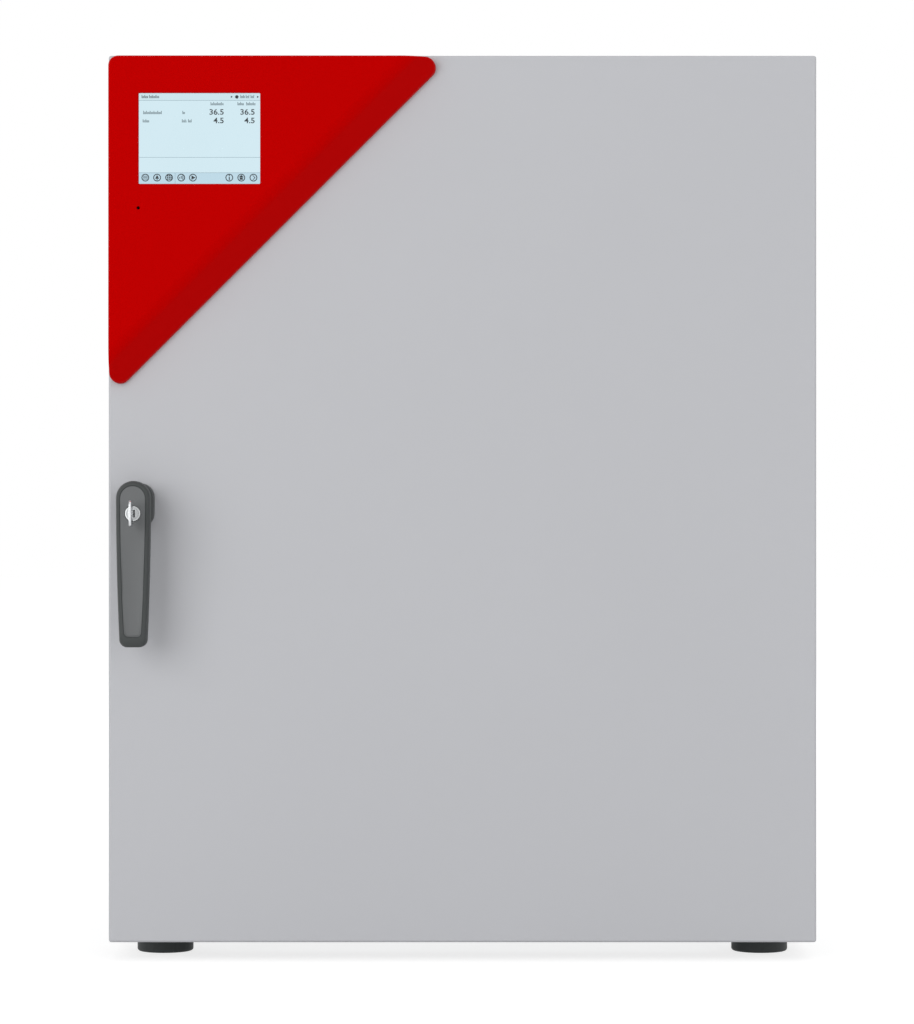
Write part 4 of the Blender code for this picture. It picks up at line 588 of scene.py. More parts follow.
def laid(axis: Axis, level: float, point: Point) -> Vector:
    """A 2-D point laid square to an axis.

    Args:
        axis: the axis.
        level: the place along it.
        point: (y, z) on X, (x, z) on Y and (x, y) on Z.

    Returns:
        The point in space.
    """
    first, second = point
    if axis is Axis.X:
        return Vector((level, first, second))
    if axis is Axis.Y:
        return Vector((first, level, second))
    return Vector((first, second, level))


def quarter_turn(steps: int) -> list[float]:
    """The angles of a quarter turn in even steps."""
    return [math.pi / 2 * step / steps for step in range(steps + 1)]


def rounded_outline(corners: Sequence[Point], radii: float | Sequence[float], steps: int = ARC_STEPS,
                    closed: bool = True) -> list[Point]:
    """Turn the corners of an outline into arcs.

    Args:
        corners: the outline's corners in order.
        radii: one radius for all, or one for each corner; 0 keeps a corner sharp.
        steps: edges in each arc.
        closed: False keeps the two ends of an open line.

    Returns:
        The points of the rounded outline.
    """
    points = []
    for index, corner in enumerate(corners):
        radius = radii[index] if isinstance(radii, (list, tuple)) else radii
        here = Vector(corner)
        if radius <= 0 or (not closed and index in (0, len(corners) - 1)):
            points.append(tuple(here))
            continue
        back = (Vector(corners[index - 1]) - here).normalized()
        ahead = (Vector(corners[(index + 1) % len(corners)]) - here).normalized()
        half = back.angle(ahead) / 2
        centre = here + (back + ahead).normalized() * (radius / math.sin(half))
        start = here + back * (radius / math.tan(half)) - centre
        end = here + ahead * (radius / math.tan(half)) - centre
        turn = math.pi - 2 * half
        for step in range(steps + 1):
            share = step / steps
            arm = (start * math.sin((1 - share) * turn) + end * math.sin(share * turn)) / math.sin(turn)
            points.append(tuple(centre + arm))
    return points


def rectangle(low: Point, high: Point, radius: float, inset: float = 0.0, steps: int = ARC_STEPS) -> list[Point]:
    """A rounded rectangle between two corners.

    Args:
        low: the lower corner.
        high: the upper corner.
        radius: the corners' radius before the inset.
        inset: how far it is drawn in all round.
        steps: edges in each corner.

    Returns:
        Its points.
    """
    left, bottom = low[0] + inset, low[1] + inset
    right, top = high[0] - inset, high[1] - inset
    corners = [(left, bottom), (right, bottom), (right, top), (left, top)]
    return rounded_outline(corners, max(radius - inset, LEAST_CORNER), steps)


def circle(centre: Point, radius: float, steps: int = SMALL_TURN_STEPS) -> list[Point]:
    """Points round a circle."""
    turns = [2 * math.pi * step / steps for step in range(steps)]
    return [(centre[0] + radius * math.cos(turn), centre[1] + radius * math.sin(turn)) for turn in turns]


def skinned(loops: Sequence[Sequence[Vector]], closed: bool = False) -> Solid:
    """Draw a loop of edges through a row of places into a solid.

    Args:
        loops: loops of points, all with as many points.
        closed: True joins the last loop to the first; otherwise both ends are capped.

    Returns:
        The solid.
    """
    bm = bmesh.new()
    verts = [bm.verts.new(point) for point in loops[0]]
    first = ring = [bm.edges.new(pair) for pair in zip(verts, verts[1:] + verts[:1])]
    for loop in list(loops[1:]) + ([loops[0]] if closed else []):
        numbers = {tuple(vert.co): number for number, vert in enumerate(verts)}
        grown = bmesh.ops.extrude_edge_only(bm, edges=ring)["geom"]
        verts = [item for item in grown if isinstance(item, bmesh.types.BMVert)]
        verts.sort(key=lambda vert: numbers[tuple(vert.co)])
        fresh = set(verts)
        ring = [item for item in grown if isinstance(item, bmesh.types.BMEdge) and fresh.issuperset(item.verts)]
        for vert, point in zip(verts, loop):
            vert.co = point
    if closed:
        bmesh.ops.remove_doubles(bm, verts=bm.verts, dist=MERGE_DISTANCE)
    else:
        for end in (first, ring):
            bmesh.ops.contextual_create(bm, geom=end)
    bmesh.ops.recalc_face_normals(bm, faces=bm.faces)
    return bm


def prism(outline: Sequence[Point], axis: Axis, start: float, end: float) -> Solid:
    """A straight solid of an outline.

    Args:
        outline: its outline, square to the axis.
        axis: the axis that it runs along.
        start: the level of its first end.
        end: the level of its other end.

    Returns:
        The solid.
    """
    bm = bmesh.new()
    base = bm.faces.new([bm.verts.new(laid(axis, start, point)) for point in outline])
    grown = bmesh.ops.extrude_face_region(bm, geom=[base])["geom"]
    verts = [item for item in grown if isinstance(item, bmesh.types.BMVert)]
    bmesh.ops.translate(bm, verts=verts, vec=axis.way * (end - start))
    bmesh.ops.recalc_face_normals(bm, faces=bm.faces)
    return bm


def block(low: Sequence[float], high: Sequence[float]) -> Solid:
    """A box.

    Args:
        low: its lower corner.
        high: its upper corner.

    Returns:
        The solid.
    """
    bm = bmesh.new()
    size = Vector(high) - Vector(low)
    middle = (Vector(high) + Vector(low)) / 2
    bmesh.ops.create_cube(bm, size=1, matrix=Matrix.Translation(middle) @ Matrix.Diagonal((*size, 1)))
    return bm


def turned(profile: Sequence[Point], centre: Point, axis: Axis, steps: int = TURN_STEPS,
           closed: bool = False) -> Solid:
    """Spin a profile round an axis.

    Args:
        profile: (radius, level) points.
        centre: where the axis stands, square to it.
        axis: the axis's direction.
        steps: facets round the turn.
        closed: True for a profile that runs round a bore.

    Returns:
        The turned solid.
    """
    bm = bmesh.new()
    verts = [bm.verts.new(laid(axis, level, (centre[0] + radius, centre[1]))) for radius, level in profile]
    pairs = list(zip(verts, verts[1:]))
    if closed:
        pairs.append((verts[-1], verts[0]))
    edges = [bm.edges.new(pair) for pair in pairs]
    bmesh.ops.spin(bm, geom=verts + edges, cent=laid(axis, 0.0, centre), axis=axis.way, angle=2 * math.pi,
                   steps=steps, use_merge=True)
    bmesh.ops.remove_doubles(bm, verts=bm.verts, dist=MERGE_DISTANCE)
    bmesh.ops.recalc_face_normals(bm, faces=bm.faces)
    return bm


def folded_tray(low: Point, high: Point, corner: float, bend: float, sheet: float, axis: Axis, web: float,
                rim: float) -> Solid:
    """A folded sheet tray.

    Args:
        low: the lower corner of its outer outline.
        high: the upper corner of its outer outline.
        corner: the radius of the outline's corners.
        bend: the outer radius of its folds.
        sheet: the sheet's thickness.
        axis: the direction square to its web.
        web: the level of the web's outer face.
        rim: the level of its open edge.

    Returns:
        The tray as one closed solid.
    """
    way = 1.0 if rim > web else -1.0
    turns = quarter_turn(BEND_STEPS)
    rows = [(bend * (1 - math.sin(turn)), web + way * bend * (1 - math.cos(turn))) for turn in turns]
    rows += [(0.0, rim), (sheet, rim)]
    inner = bend - sheet
    rows += [(sheet + inner * (1 - math.sin(turn)), web + way * (sheet + inner * (1 - math.cos(turn))))
             for turn in reversed(turns)]
    return skinned([[laid(axis, level, point) for point in rectangle(low, high, corner, inset)]
                    for inset, level in rows])


def ring_section(low: Point, high: Point, corner: float, section: Sequence[Point]) -> Solid:
    """A seal that runs round a rectangle in the XZ plane.

    Args:
        low: the lower corner of its outer outline.
        high: the upper corner of its outer outline.
        corner: the outer corner radius.
        section: (inset, y) points of its cross-section.

    Returns:
        The closed ring.
    """
    loops = [[laid(Axis.Y, level, point) for point in rectangle(low, high, corner, inset)]
             for inset, level in section]
    return skinned(loops, closed=True)


def ease(bm: Solid, radius: float, segments: int = 3, least: float = 30.0,
         where: Optional[Callable[[bmesh.types.BMEdge], bool]] = None) -> Solid:
    """Round the sharp edges of a solid.

    Args:
        bm: the solid.
        radius: the width of the rounding.
        segments: faces across it.
        least: the smallest angle in degrees of an edge that is rounded.
        where: picks edges; all sharp ones if left out.

    Returns:
        The same solid.
    """
    edges = [edge for edge in bm.edges if len(edge.link_faces) == 2
             and edge.calc_face_angle(0.0) > math.radians(least) and (where is None or where(edge))]
    bmesh.ops.bevel(bm, geom=edges, offset=radius, offset_type="OFFSET", affect="EDGES", segments=segments,
                    profile=0.5, material=-1, clamp_overlap=True)
    return bm


def joined(*parts: Solid) -> Solid:
    """Put several meshes into one.

    Args:
        parts: the meshes; they are freed.

    Returns:
        The whole.
    """
    whole = bmesh.new()
    for part in parts:
        mesh = bpy.data.meshes.new("part")
        part.to_mesh(mesh)
        part.free()
        whole.from_mesh(mesh)
        bpy.data.meshes.remove(mesh)
    return whole


def linked(name: str, data: bpy.types.ID) -> bpy.types.Object:
    """A new object of the scene.

    Args:
        name: its name.
        data: its mesh, text, lamp or camera.

    Returns:
        The object.
    """
    item = bpy.data.objects.new(name, data)
    bpy.context.scene.collection.objects.link(item)
    return item


def evaluated(item: bpy.types.Object) -> Solid:
    """The shape of a text, or of a mesh with its modifiers.

    Args:
        item: the linked object.

    Returns:
        Its shape as a new mesh.
    """
    bpy.context.view_layer.update()
    mesh = bpy.data.meshes.new_from_object(item.evaluated_get(bpy.context.evaluated_depsgraph_get()))
    bm = bmesh.new()
    bm.from_mesh(mesh)
    bpy.data.meshes.remove(mesh)
    return bm


def carved(bm: Solid, *cutters: Solid) -> Solid:
    """Cut solids out of a solid.

    Args:
        bm: the solid; it is freed.
        cutters: what is cut out; they are freed too.

    Returns:
        The cut solid.
    """
    items = []
    for part in (bm, joined(*cutters)):
        mesh = bpy.data.meshes.new("cut")
        part.to_mesh(mesh)
        part.free()
        items.append(linked("cut", mesh))
    body, tool = items
    modifier = body.modifiers.new("cut", "BOOLEAN")
    modifier.operation = "DIFFERENCE"
    modifier.solver = "EXACT"
    modifier.object = tool
    cut = evaluated(body)
    for item in items:
        mesh = item.data
        bpy.data.objects.remove(item)
        bpy.data.meshes.remove(mesh)
    return cut


def merged_copy(node: str) -> Solid:
    """A copy of a node's mesh with its loose triangles merged and its flat faces whole.

    Args:
        node: the node's name.

    Returns:
        The copy.
    """
    bm = bmesh.new()
    bm.from_mesh(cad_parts[node].data)
    bmesh.ops.remove_doubles(bm, verts=bm.verts, dist=MERGE_DISTANCE)
    bmesh.ops.dissolve_limit(bm, angle_limit=FLAT_ANGLE, verts=bm.verts, edges=bm.edges)
    return bm


def button_screw(radius: float) -> Solid:
    """A button-head screw with a hexagon socket, its seat at the origin and its head towards +Z.

    Args:
        radius: the head's radius.

    Returns:
        The head.
    """
    height = radius * 0.55
    rim = height * 0.35
    profile = rounded_outline([(0.0, 0.0), (radius, 0.0), (radius, rim), (radius * 0.62, height), (0.0, height)],
                              [0, 0, radius * 0.18, radius * 0.25, 0], 4, closed=False)
    head = turned(profile, (0.0, 0.0), Axis.Z, 24)
    socket = prism(circle((0.0, 0.0), radius * 0.5, 6), Axis.Z, rim, height * 2)
    return carved(head, socket)


@dataclass
class Workshop:
    """Hands finished meshes over: dresses them, hangs them on their body and reports them."""

    dressed: dict = field(default_factory=dict)

    def material(self, finish: Finish) -> bpy.types.Material:
        """The material of a finish, built once."""
        if finish.name not in self.dressed:
            self.dressed[finish.name] = finish.build()
        return self.dressed[finish.name]

    def hand_over(self, name: str, bm: Solid, finish: Finish | tuple[Finish, ...], body: Body,
                  replaces: Sequence[str] = ()) -> bpy.types.Object:
        """Make a piece of a mesh.

        Args:
            name: the piece's name.
            bm: its mesh, in place; it is freed.
            finish: its finish, or several in the order of its faces' material numbers.
            body: the body that it rides on.
            replaces: the nodes that it stands for.

        Returns:
            The piece.
        """
        finishes = finish if isinstance(finish, tuple) else (finish,)
        mesh = bpy.data.meshes.new(name)
        bm.to_mesh(mesh)
        bm.free()
        for each in finishes:
            mesh.materials.append(self.material(each))
        mesh.shade_smooth()
        mesh.set_sharp_from_angle(angle=SHARP_ANGLE)
        item = linked(name, mesh)
        even = item.modifiers.new("even_shading", "WEIGHTED_NORMAL")
        even.keep_sharp = True
        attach(item, body.value)
        if replaces:
            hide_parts(*replaces)
        LOG.info("%s: %d faces on %s", name, len(mesh.polygons), body.value)
        return item

    def dress(self, node: str, finish: Finish) -> None:
        """Give a node that is shown as it is a finish.

        Args:
            node: the node's name.
            finish: its finish.
        """
        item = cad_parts[node]
        item.data.materials.clear()
        item.data.materials.append(self.material(finish))
        LOG.info("%s: dressed in %s", node, finish.name)

    def refine(self, node: str, finish: Finish, body: Body, radius: float = 0.0004,
               segments: int = 2) -> bpy.types.Object:
        """Stand a merged copy with rounded edges in for a node.

        Args:
            node: the node's name.
            finish: the piece's finish.
            body: the body that it rides on.
            radius: the width of the rounding; 0 leaves the edges.
            segments: faces across it.

        Returns:
            The piece.
        """
        bm = merged_copy(node)
        if radius > 0:
            ease(bm, radius, segments)
        return self.hand_over(f"{node}_fine", bm, finish, body, (node,))

    def screws(self, name: str, places: Sequence[Vector], facing: Vector, radius: float, finish: Finish,
               body: Body) -> bpy.types.Object:
        """A set of equal button-head screws as one piece.

        Args:
            name: the piece's name.
            places: the seats of the heads.
            facing: the way that the heads face.
            radius: the heads' radius.
            finish: their finish.
            body: the body that they ride on.

        Returns:
            The piece.
        """
        turn = facing.to_track_quat("Z", "Y").to_matrix().to_4x4()
        turn_step = 1.1
        heads = []
        for number, place in enumerate(places):
            head = button_screw(radius)
            spin = Matrix.Rotation(number * turn_step, 4, "Z")
            bmesh.ops.transform(head, matrix=Matrix.Translation(place) @ turn @ spin, verts=head.verts)
            heads.append(head)
        return self.hand_over(name, joined(*heads), finish, body)


# Cabinet

@dataclass
class CabinetShell:
    """Painted casing, base pan, front frame, rear sheet and rubber feet."""

    shop: Workshop
    sheet: float = 0.0012
    bend: float = 0.0025
    corner: float = 0.003
    slot_rows: int = 6
    slot_pitch: float = 0.010
    slot_half_height: float = 0.002
    slot_half_width: float = 0.040
    slot_column_x: float = 0.130
    slot_below_top: float = 0.070
    rear_screw_radius: float = 0.0038
    rear_screw_inset: float = 0.010
    latch_margin: float = 0.004
    latch_below: float = 0.020
    port_hole: float = 0.0193
    nozzle_hole: float = 0.0053
    service_margins: tuple = (("mains_inlet", 0.0042), ("network_socket", 0.0014))
    service_gain: float = 0.0008
    # Size of the black sheets of painted shade behind the cooling slots.
    shade_sheet_margin: float = 0.006
    shade_sheet_depth: float = 0.004
    pocket_wall: float = 0.0014
    sole_rise: float = 0.0008
    stud_radius: float = 0.004

    def build(self) -> None:
        """Make every piece of the casing."""
        self.side_panels()
        self.top_panel()
        self.rear_panel()
        self.slot_shade_sheets()
        self.latch_pocket()
        self.feet()
        self.shop.refine("base_panel", GALVANISED, Body.CABINET, 0.0)
        self.shop.refine("front_frame", CABINET_PAINT, Body.CABINET, 0.0005, 3)

    def side_panels(self) -> None:
        """The two side trays; the left one is open where the latch passes."""
        latch = span("latch_tongue")
        for name, way in (("side_panel_left", -1), ("side_panel_right", 1)):
            box = span(name)
            web, rim = (box.low.x, box.high.x) if way < 0 else (box.high.x, box.low.x)
            tray = folded_tray((box.low.y, box.low.z), (box.high.y, box.high.z), self.corner, self.bend,
                               self.sheet, Axis.X, web, rim)
            if way < 0:
                margin = self.latch_margin
                slot = block((latch.low.x - margin, box.low.y - margin, latch.low.z - self.latch_below),
                             (box.high.x + margin, latch.high.y + margin, latch.high.z + margin))
                tray = carved(tray, slot)
            self.shop.hand_over(f"{name}_skin", tray, CABINET_PAINT, Body.CABINET, (name,))

    def top_panel(self) -> None:
        """The top tray between the sides."""
        box = span("top_panel")
        tray = folded_tray((box.low.x, box.low.y), (box.high.x, box.high.y), self.corner, self.bend, self.sheet,
                           Axis.Z, box.high.z, box.low.z)
        self.shop.hand_over("top_panel_skin", tray, CABINET_PAINT, Body.CABINET, ("top_panel",))

    def rear_panel(self) -> None:
        """The rear sheet with round-ended cooling slots, service openings and its screws."""
        box = span("rear_panel")
        near, far = box.low.y - CUT_OVER, box.high.y + CUT_OVER
        sheet = prism(rectangle(*box.face, self.corner), Axis.Y, box.low.y, box.high.y)
        cutters = []
        top = span("side_panel_left").high.z
        for column in (-1, 1):
            for row in range(self.slot_rows):
                z = top - self.slot_below_top - row * self.slot_pitch
                x = column * self.slot_column_x
                outline = rectangle((x - self.slot_half_width, z - self.slot_half_height),
                                    (x + self.slot_half_width, z + self.slot_half_height),
                                    self.slot_half_height - 0.0001, steps=4)
                cutters.append(prism(outline, Axis.Y, near, far))
        for service, radius in (("access_port", self.port_hole), ("gas_nozzle", self.nozzle_hole)):
            cutters.append(prism(circle(span(service).eye, radius), Axis.Y, near, far))
        for service, margin in self.service_margins:
            low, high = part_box(service)
            cutters.append(block((low.x + margin, near, low.z + margin - self.service_gain),
                                 (high.x - margin, far, high.z - margin + self.service_gain)))
        self.shop.hand_over("rear_panel_sheet", carved(sheet, *cutters), CABINET_PAINT, Body.CABINET, ("rear_panel",))
        self.rear_screws(box)

    def rear_screws(self, box: Span) -> None:
        """Button-head screws round the rear sheet.

        Args:
            box: the sheet's box.
        """
        inset = self.rear_screw_inset
        places = []
        for share in (0.0, 0.25, 0.5, 0.75, 1.0):
            z = box.low.z + inset + share * (box.size.z - 2 * inset)
            places += [Vector((x, box.high.y, z)) for x in (box.low.x + inset, box.high.x - inset)]
        for share in (0.25, 0.5, 0.75):
            x = box.low.x + share * box.size.x
            places += [Vector((x, box.high.y, z)) for z in (box.low.z + inset, box.high.z - inset)]
        self.shop.screws("rear_panel_screws", places, Axis.Y.way, self.rear_screw_radius, PLATED_STEEL, Body.CABINET)

    def slot_shade_sheets(self) -> None:
        """Black sheets behind the two fields of cooling slots: painted shade, so that the slots look dark."""
        box = span("rear_panel")
        top = span("side_panel_left").high.z - self.slot_below_top + self.slot_half_height + self.shade_sheet_margin
        height = (self.slot_rows - 1) * self.slot_pitch + 2 * (self.slot_half_height + self.shade_sheet_margin)
        half = self.slot_half_width + self.shade_sheet_margin
        shade_sheets = []
        for x in (-self.slot_column_x, self.slot_column_x):
            outline = rectangle((x - half, top - height), (x + half, top), self.corner, steps=3)
            shade_sheets.append(prism(outline, Axis.Y, box.low.y - SEAT_GAP - self.shade_sheet_depth, box.low.y - SEAT_GAP))
        self.shop.hand_over("cooling_slot_painted_shade", joined(*shade_sheets), SHADE_BLACK, Body.CABINET)

    def latch_pocket(self) -> None:
        """The moulded lining of the opening that the latch tongue swings in, open to the front and the left."""
        keeper, tongue = span("latch_keeper"), span("latch_tongue")
        wall = self.pocket_wall
        front = span("side_panel_left").low.y + self.sheet + 2 * SEAT_GAP
        right = tongue.high.x + 2.6 * SEAT_GAP
        inner_low = (keeper.low.x - wall, front - wall, keeper.low.z - SEAT_GAP)
        inner_high = (right, keeper.high.y + wall, keeper.high.z + SEAT_GAP)
        outer = block((keeper.low.x + SEAT_GAP, front, inner_low[2] - wall),
                      (right + wall, inner_high[1] + wall - SEAT_GAP, inner_high[2] + wall))
        self.shop.hand_over("latch_pocket", carved(outer, block(inner_low, inner_high)), DARK_PLASTIC, Body.CABINET)

    def feet(self) -> None:
        """Round rubber feet with a rounded lower edge and a shallow ring in the sole."""
        for name in ("front_left", "front_right", "rear_left", "rear_right"):
            box = span(f"foot_{name}")
            radius, top = box.size.x / 2, span("base_panel").low.z - SEAT_GAP
            corners = [(0.0, self.sole_rise), (radius * 0.45, self.sole_rise), (radius * 0.48, 0.0), (radius, 0.0),
                       (radius, top), (self.stud_radius, top), (self.stud_radius, box.high.z), (0.0, box.high.z)]
            profile = rounded_outline(corners, [0, 0.0003, 0.0003, 0.0026, 0.0015, 0, 0.0008, 0], 6, closed=False)
            foot = turned(profile, (box.centre.x, box.centre.y), Axis.Z)
            self.shop.hand_over(f"rubber_foot_{name}", foot, RUBBER, Body.CABINET, (f"foot_{name}",))


# Outer door

@dataclass
class OuterDoor:
    """Painted skin, stainless liner with its raised field, bulb gasket and foam core."""

    shop: Workshop
    sheet: float = 0.0012
    bend: float = 0.0025
    corner: float = 0.0025
    shaft_radius: float = 0.0053
    field_corner: float = 0.024
    notch_width: float = 0.019
    notch_half: float = 0.044
    notch_depth: float = 0.0221
    field_margin: float = 0.056
    field_gap: float = 0.0028
    field_bend: float = 0.0028
    inner_reach: float = 0.005
    inner_depth: float = 0.004
    liner_screw_radius: float = 0.0032
    liner_screw_inset: float = 0.014
    gasket_lip: float = 0.002
    gasket_width: float = 0.007
    gasket_corner: float = 0.020
    bulb_bend: float = 0.0012

    def build(self) -> None:
        """Make every piece of the door."""
        self.skin()
        self.liner()
        self.gasket()
        self.shop.dress("door_insulation", FOAM)

    def shaft_hole(self) -> Solid:
        """The cutter of the handle shaft's hole."""
        near, far = span("door_shell").low.y - 2 * CUT_OVER, span("door_liner").high.y + 2 * CUT_OVER
        return prism(circle(span("latch_shaft").eye, self.shaft_radius), Axis.Y, near, far)

    def hinge_notches(self) -> list[Solid]:
        """The cutters of the two recesses in which the hinges stand.

        Returns:
            The two cutters.
        """
        edge = span("door_shell").high.x
        front = span("door_liner").low.y - self.notch_depth
        cutters = []
        for name in ("upper", "lower"):
            height = span(f"hinge_pin_{name}").centre.z
            cutters.append(block((edge - self.notch_width, front, height - self.notch_half),
                                 (edge + CUT_OVER, span("door_liner").high.y + CUT_OVER, height + self.notch_half)))
        return cutters

    def skin(self) -> None:
        """The folded outer sheet."""
        box = span("door_shell")
        tray = folded_tray(*box.face, self.corner, self.bend, self.sheet, Axis.Y, box.low.y, box.high.y)
        cut = carved(tray, self.shaft_hole(), *self.hinge_notches())
        self.shop.hand_over("door_skin", cut, DOOR_PAINT, Body.OUTER_DOOR, ("door_shell",))

    def liner(self) -> None:
        """The inner sheet: a flange all round and a raised field that faces the chamber."""
        box, core = span("door_liner"), span("chamber_liner")
        low = (box.low.x + self.field_margin, core.low.z - self.field_gap)
        high = (box.high.x - self.field_margin, core.high.z + self.field_gap)
        flange, crown = box.low.y + self.sheet, box.high.y

        def field_loop(inset: float, level: float) -> list[Vector]:
            """The raised field's outline, drawn in, at a level."""
            return [laid(Axis.Y, level, point) for point in rectangle(low, high, self.field_corner, inset)]

        turns = quarter_turn(BEND_STEPS)
        radius = self.field_bend
        loops = [field_loop(radius * (1 - math.sin(turn)), crown - radius * (1 - math.cos(turn))) for turn in turns]
        loops += [field_loop(-radius * (1 - math.cos(turn)), flange + radius * (1 - math.sin(turn))) for turn in turns]
        outline = rectangle(*box.face, self.corner)
        loops += [[laid(Axis.Y, level, point) for point in outline] for level in (flange, box.low.y)]
        loops += [field_loop(self.sheet, box.low.y), field_loop(self.sheet, crown - self.inner_depth),
                  field_loop(self.inner_reach, crown - self.sheet)]
        cut = carved(skinned(loops), self.shaft_hole(), *self.hinge_notches())
        self.shop.hand_over("door_liner_sheet", cut, STAINLESS_UPRIGHT, Body.OUTER_DOOR, ("door_liner",))
        self.liner_screws(box, flange)

    def liner_screws(self, box: Span, level: float) -> None:
        """Screws along the liner's flange, outside the gasket.

        Args:
            box: the liner's box.
            level: the flange's face.
        """
        inset = self.liner_screw_inset
        places = []
        for share in (0.06, 0.35, 0.65, 0.94):
            x = box.low.x + share * box.size.x
            places += [Vector((x, level, z)) for z in (box.low.z + inset, box.high.z - inset)]
            z = box.low.z + share * box.size.z
            places += [Vector((x, level, z)) for x in (box.low.x + inset, box.high.x - inset)
                       if x < 0 or abs(share - 0.5) < 0.3]
        self.shop.screws("door_liner_screws", places, Axis.Y.way, self.liner_screw_radius, PLATED_STEEL,
                         Body.OUTER_DOOR)

    def gasket(self) -> None:
        """The door seal: a foot on the liner and a soft bulb towards the frame."""
        box = span("door_gasket")
        lip, width, bend = self.gasket_lip, self.gasket_width, self.bulb_bend
        low = (box.low.x + lip, box.low.z + lip)
        high = (box.high.x - lip, box.high.z - lip)
        door, face = box.low.y, box.high.y
        neck = door + lip
        section = rounded_outline([(0.0, door), (0.0, neck), (-lip, neck + bend), (-lip, face),
                                   (width / 2 - bend, face), (width / 2, face - bend), (width / 2 + bend, face),
                                   (width + lip, face), (width + lip, neck + bend), (width, neck), (width, door)],
                                  [0, 0.0006, 0.0006, 0.0018, 0.0004, 0.0006, 0.0004, 0.0018, 0.0006, 0.0006, 0], 3)
        ring = ring_section(low, high, self.gasket_corner, section)
        self.shop.hand_over("door_gasket_bulb", ring, RUBBER, Body.OUTER_DOOR, ("door_gasket",))


@dataclass
class DoorHinges:
    """Brackets, leaves and headed pins of the two outer hinges."""

    shop: Workshop
    pin_radius: float = 0.004
    head_radius: float = 0.0058
    head_height: float = 0.0024

    def build(self) -> None:
        """Make the pieces of both hinges."""
        for name in ("upper", "lower"):
            self.shop.refine(f"hinge_bracket_{name}", PLATED_STEEL, Body.CABINET, 0.0004)
            self.shop.refine(f"door_leaf_{name}", PLATED_STEEL, Body.OUTER_DOOR, 0.0003)
            self.pin(name)

    def pin(self, name: str) -> None:
        """One hinge pin with its low head.

        Args:
            name: the hinge's name.
        """
        box = span(f"hinge_pin_{name}")
        low, high, head = box.low.z, box.high.z, box.high.z - self.head_height
        corners = [(0.0, low), (self.pin_radius, low), (self.pin_radius, head), (self.head_radius, head),
                   (self.head_radius, high), (0.0, high)]
        profile = rounded_outline(corners, [0, 0.001, 0.0, 0.0002, 0.0012, 0], 5, closed=False)
        pin = turned(profile, (box.centre.x, box.centre.y), Axis.Z, SMALL_TURN_STEPS)
        self.shop.hand_over(f"hinge_pin_{name}_turned", pin, STAINLESS_UPRIGHT, Body.CABINET, (f"hinge_pin_{name}",))


# Control panel

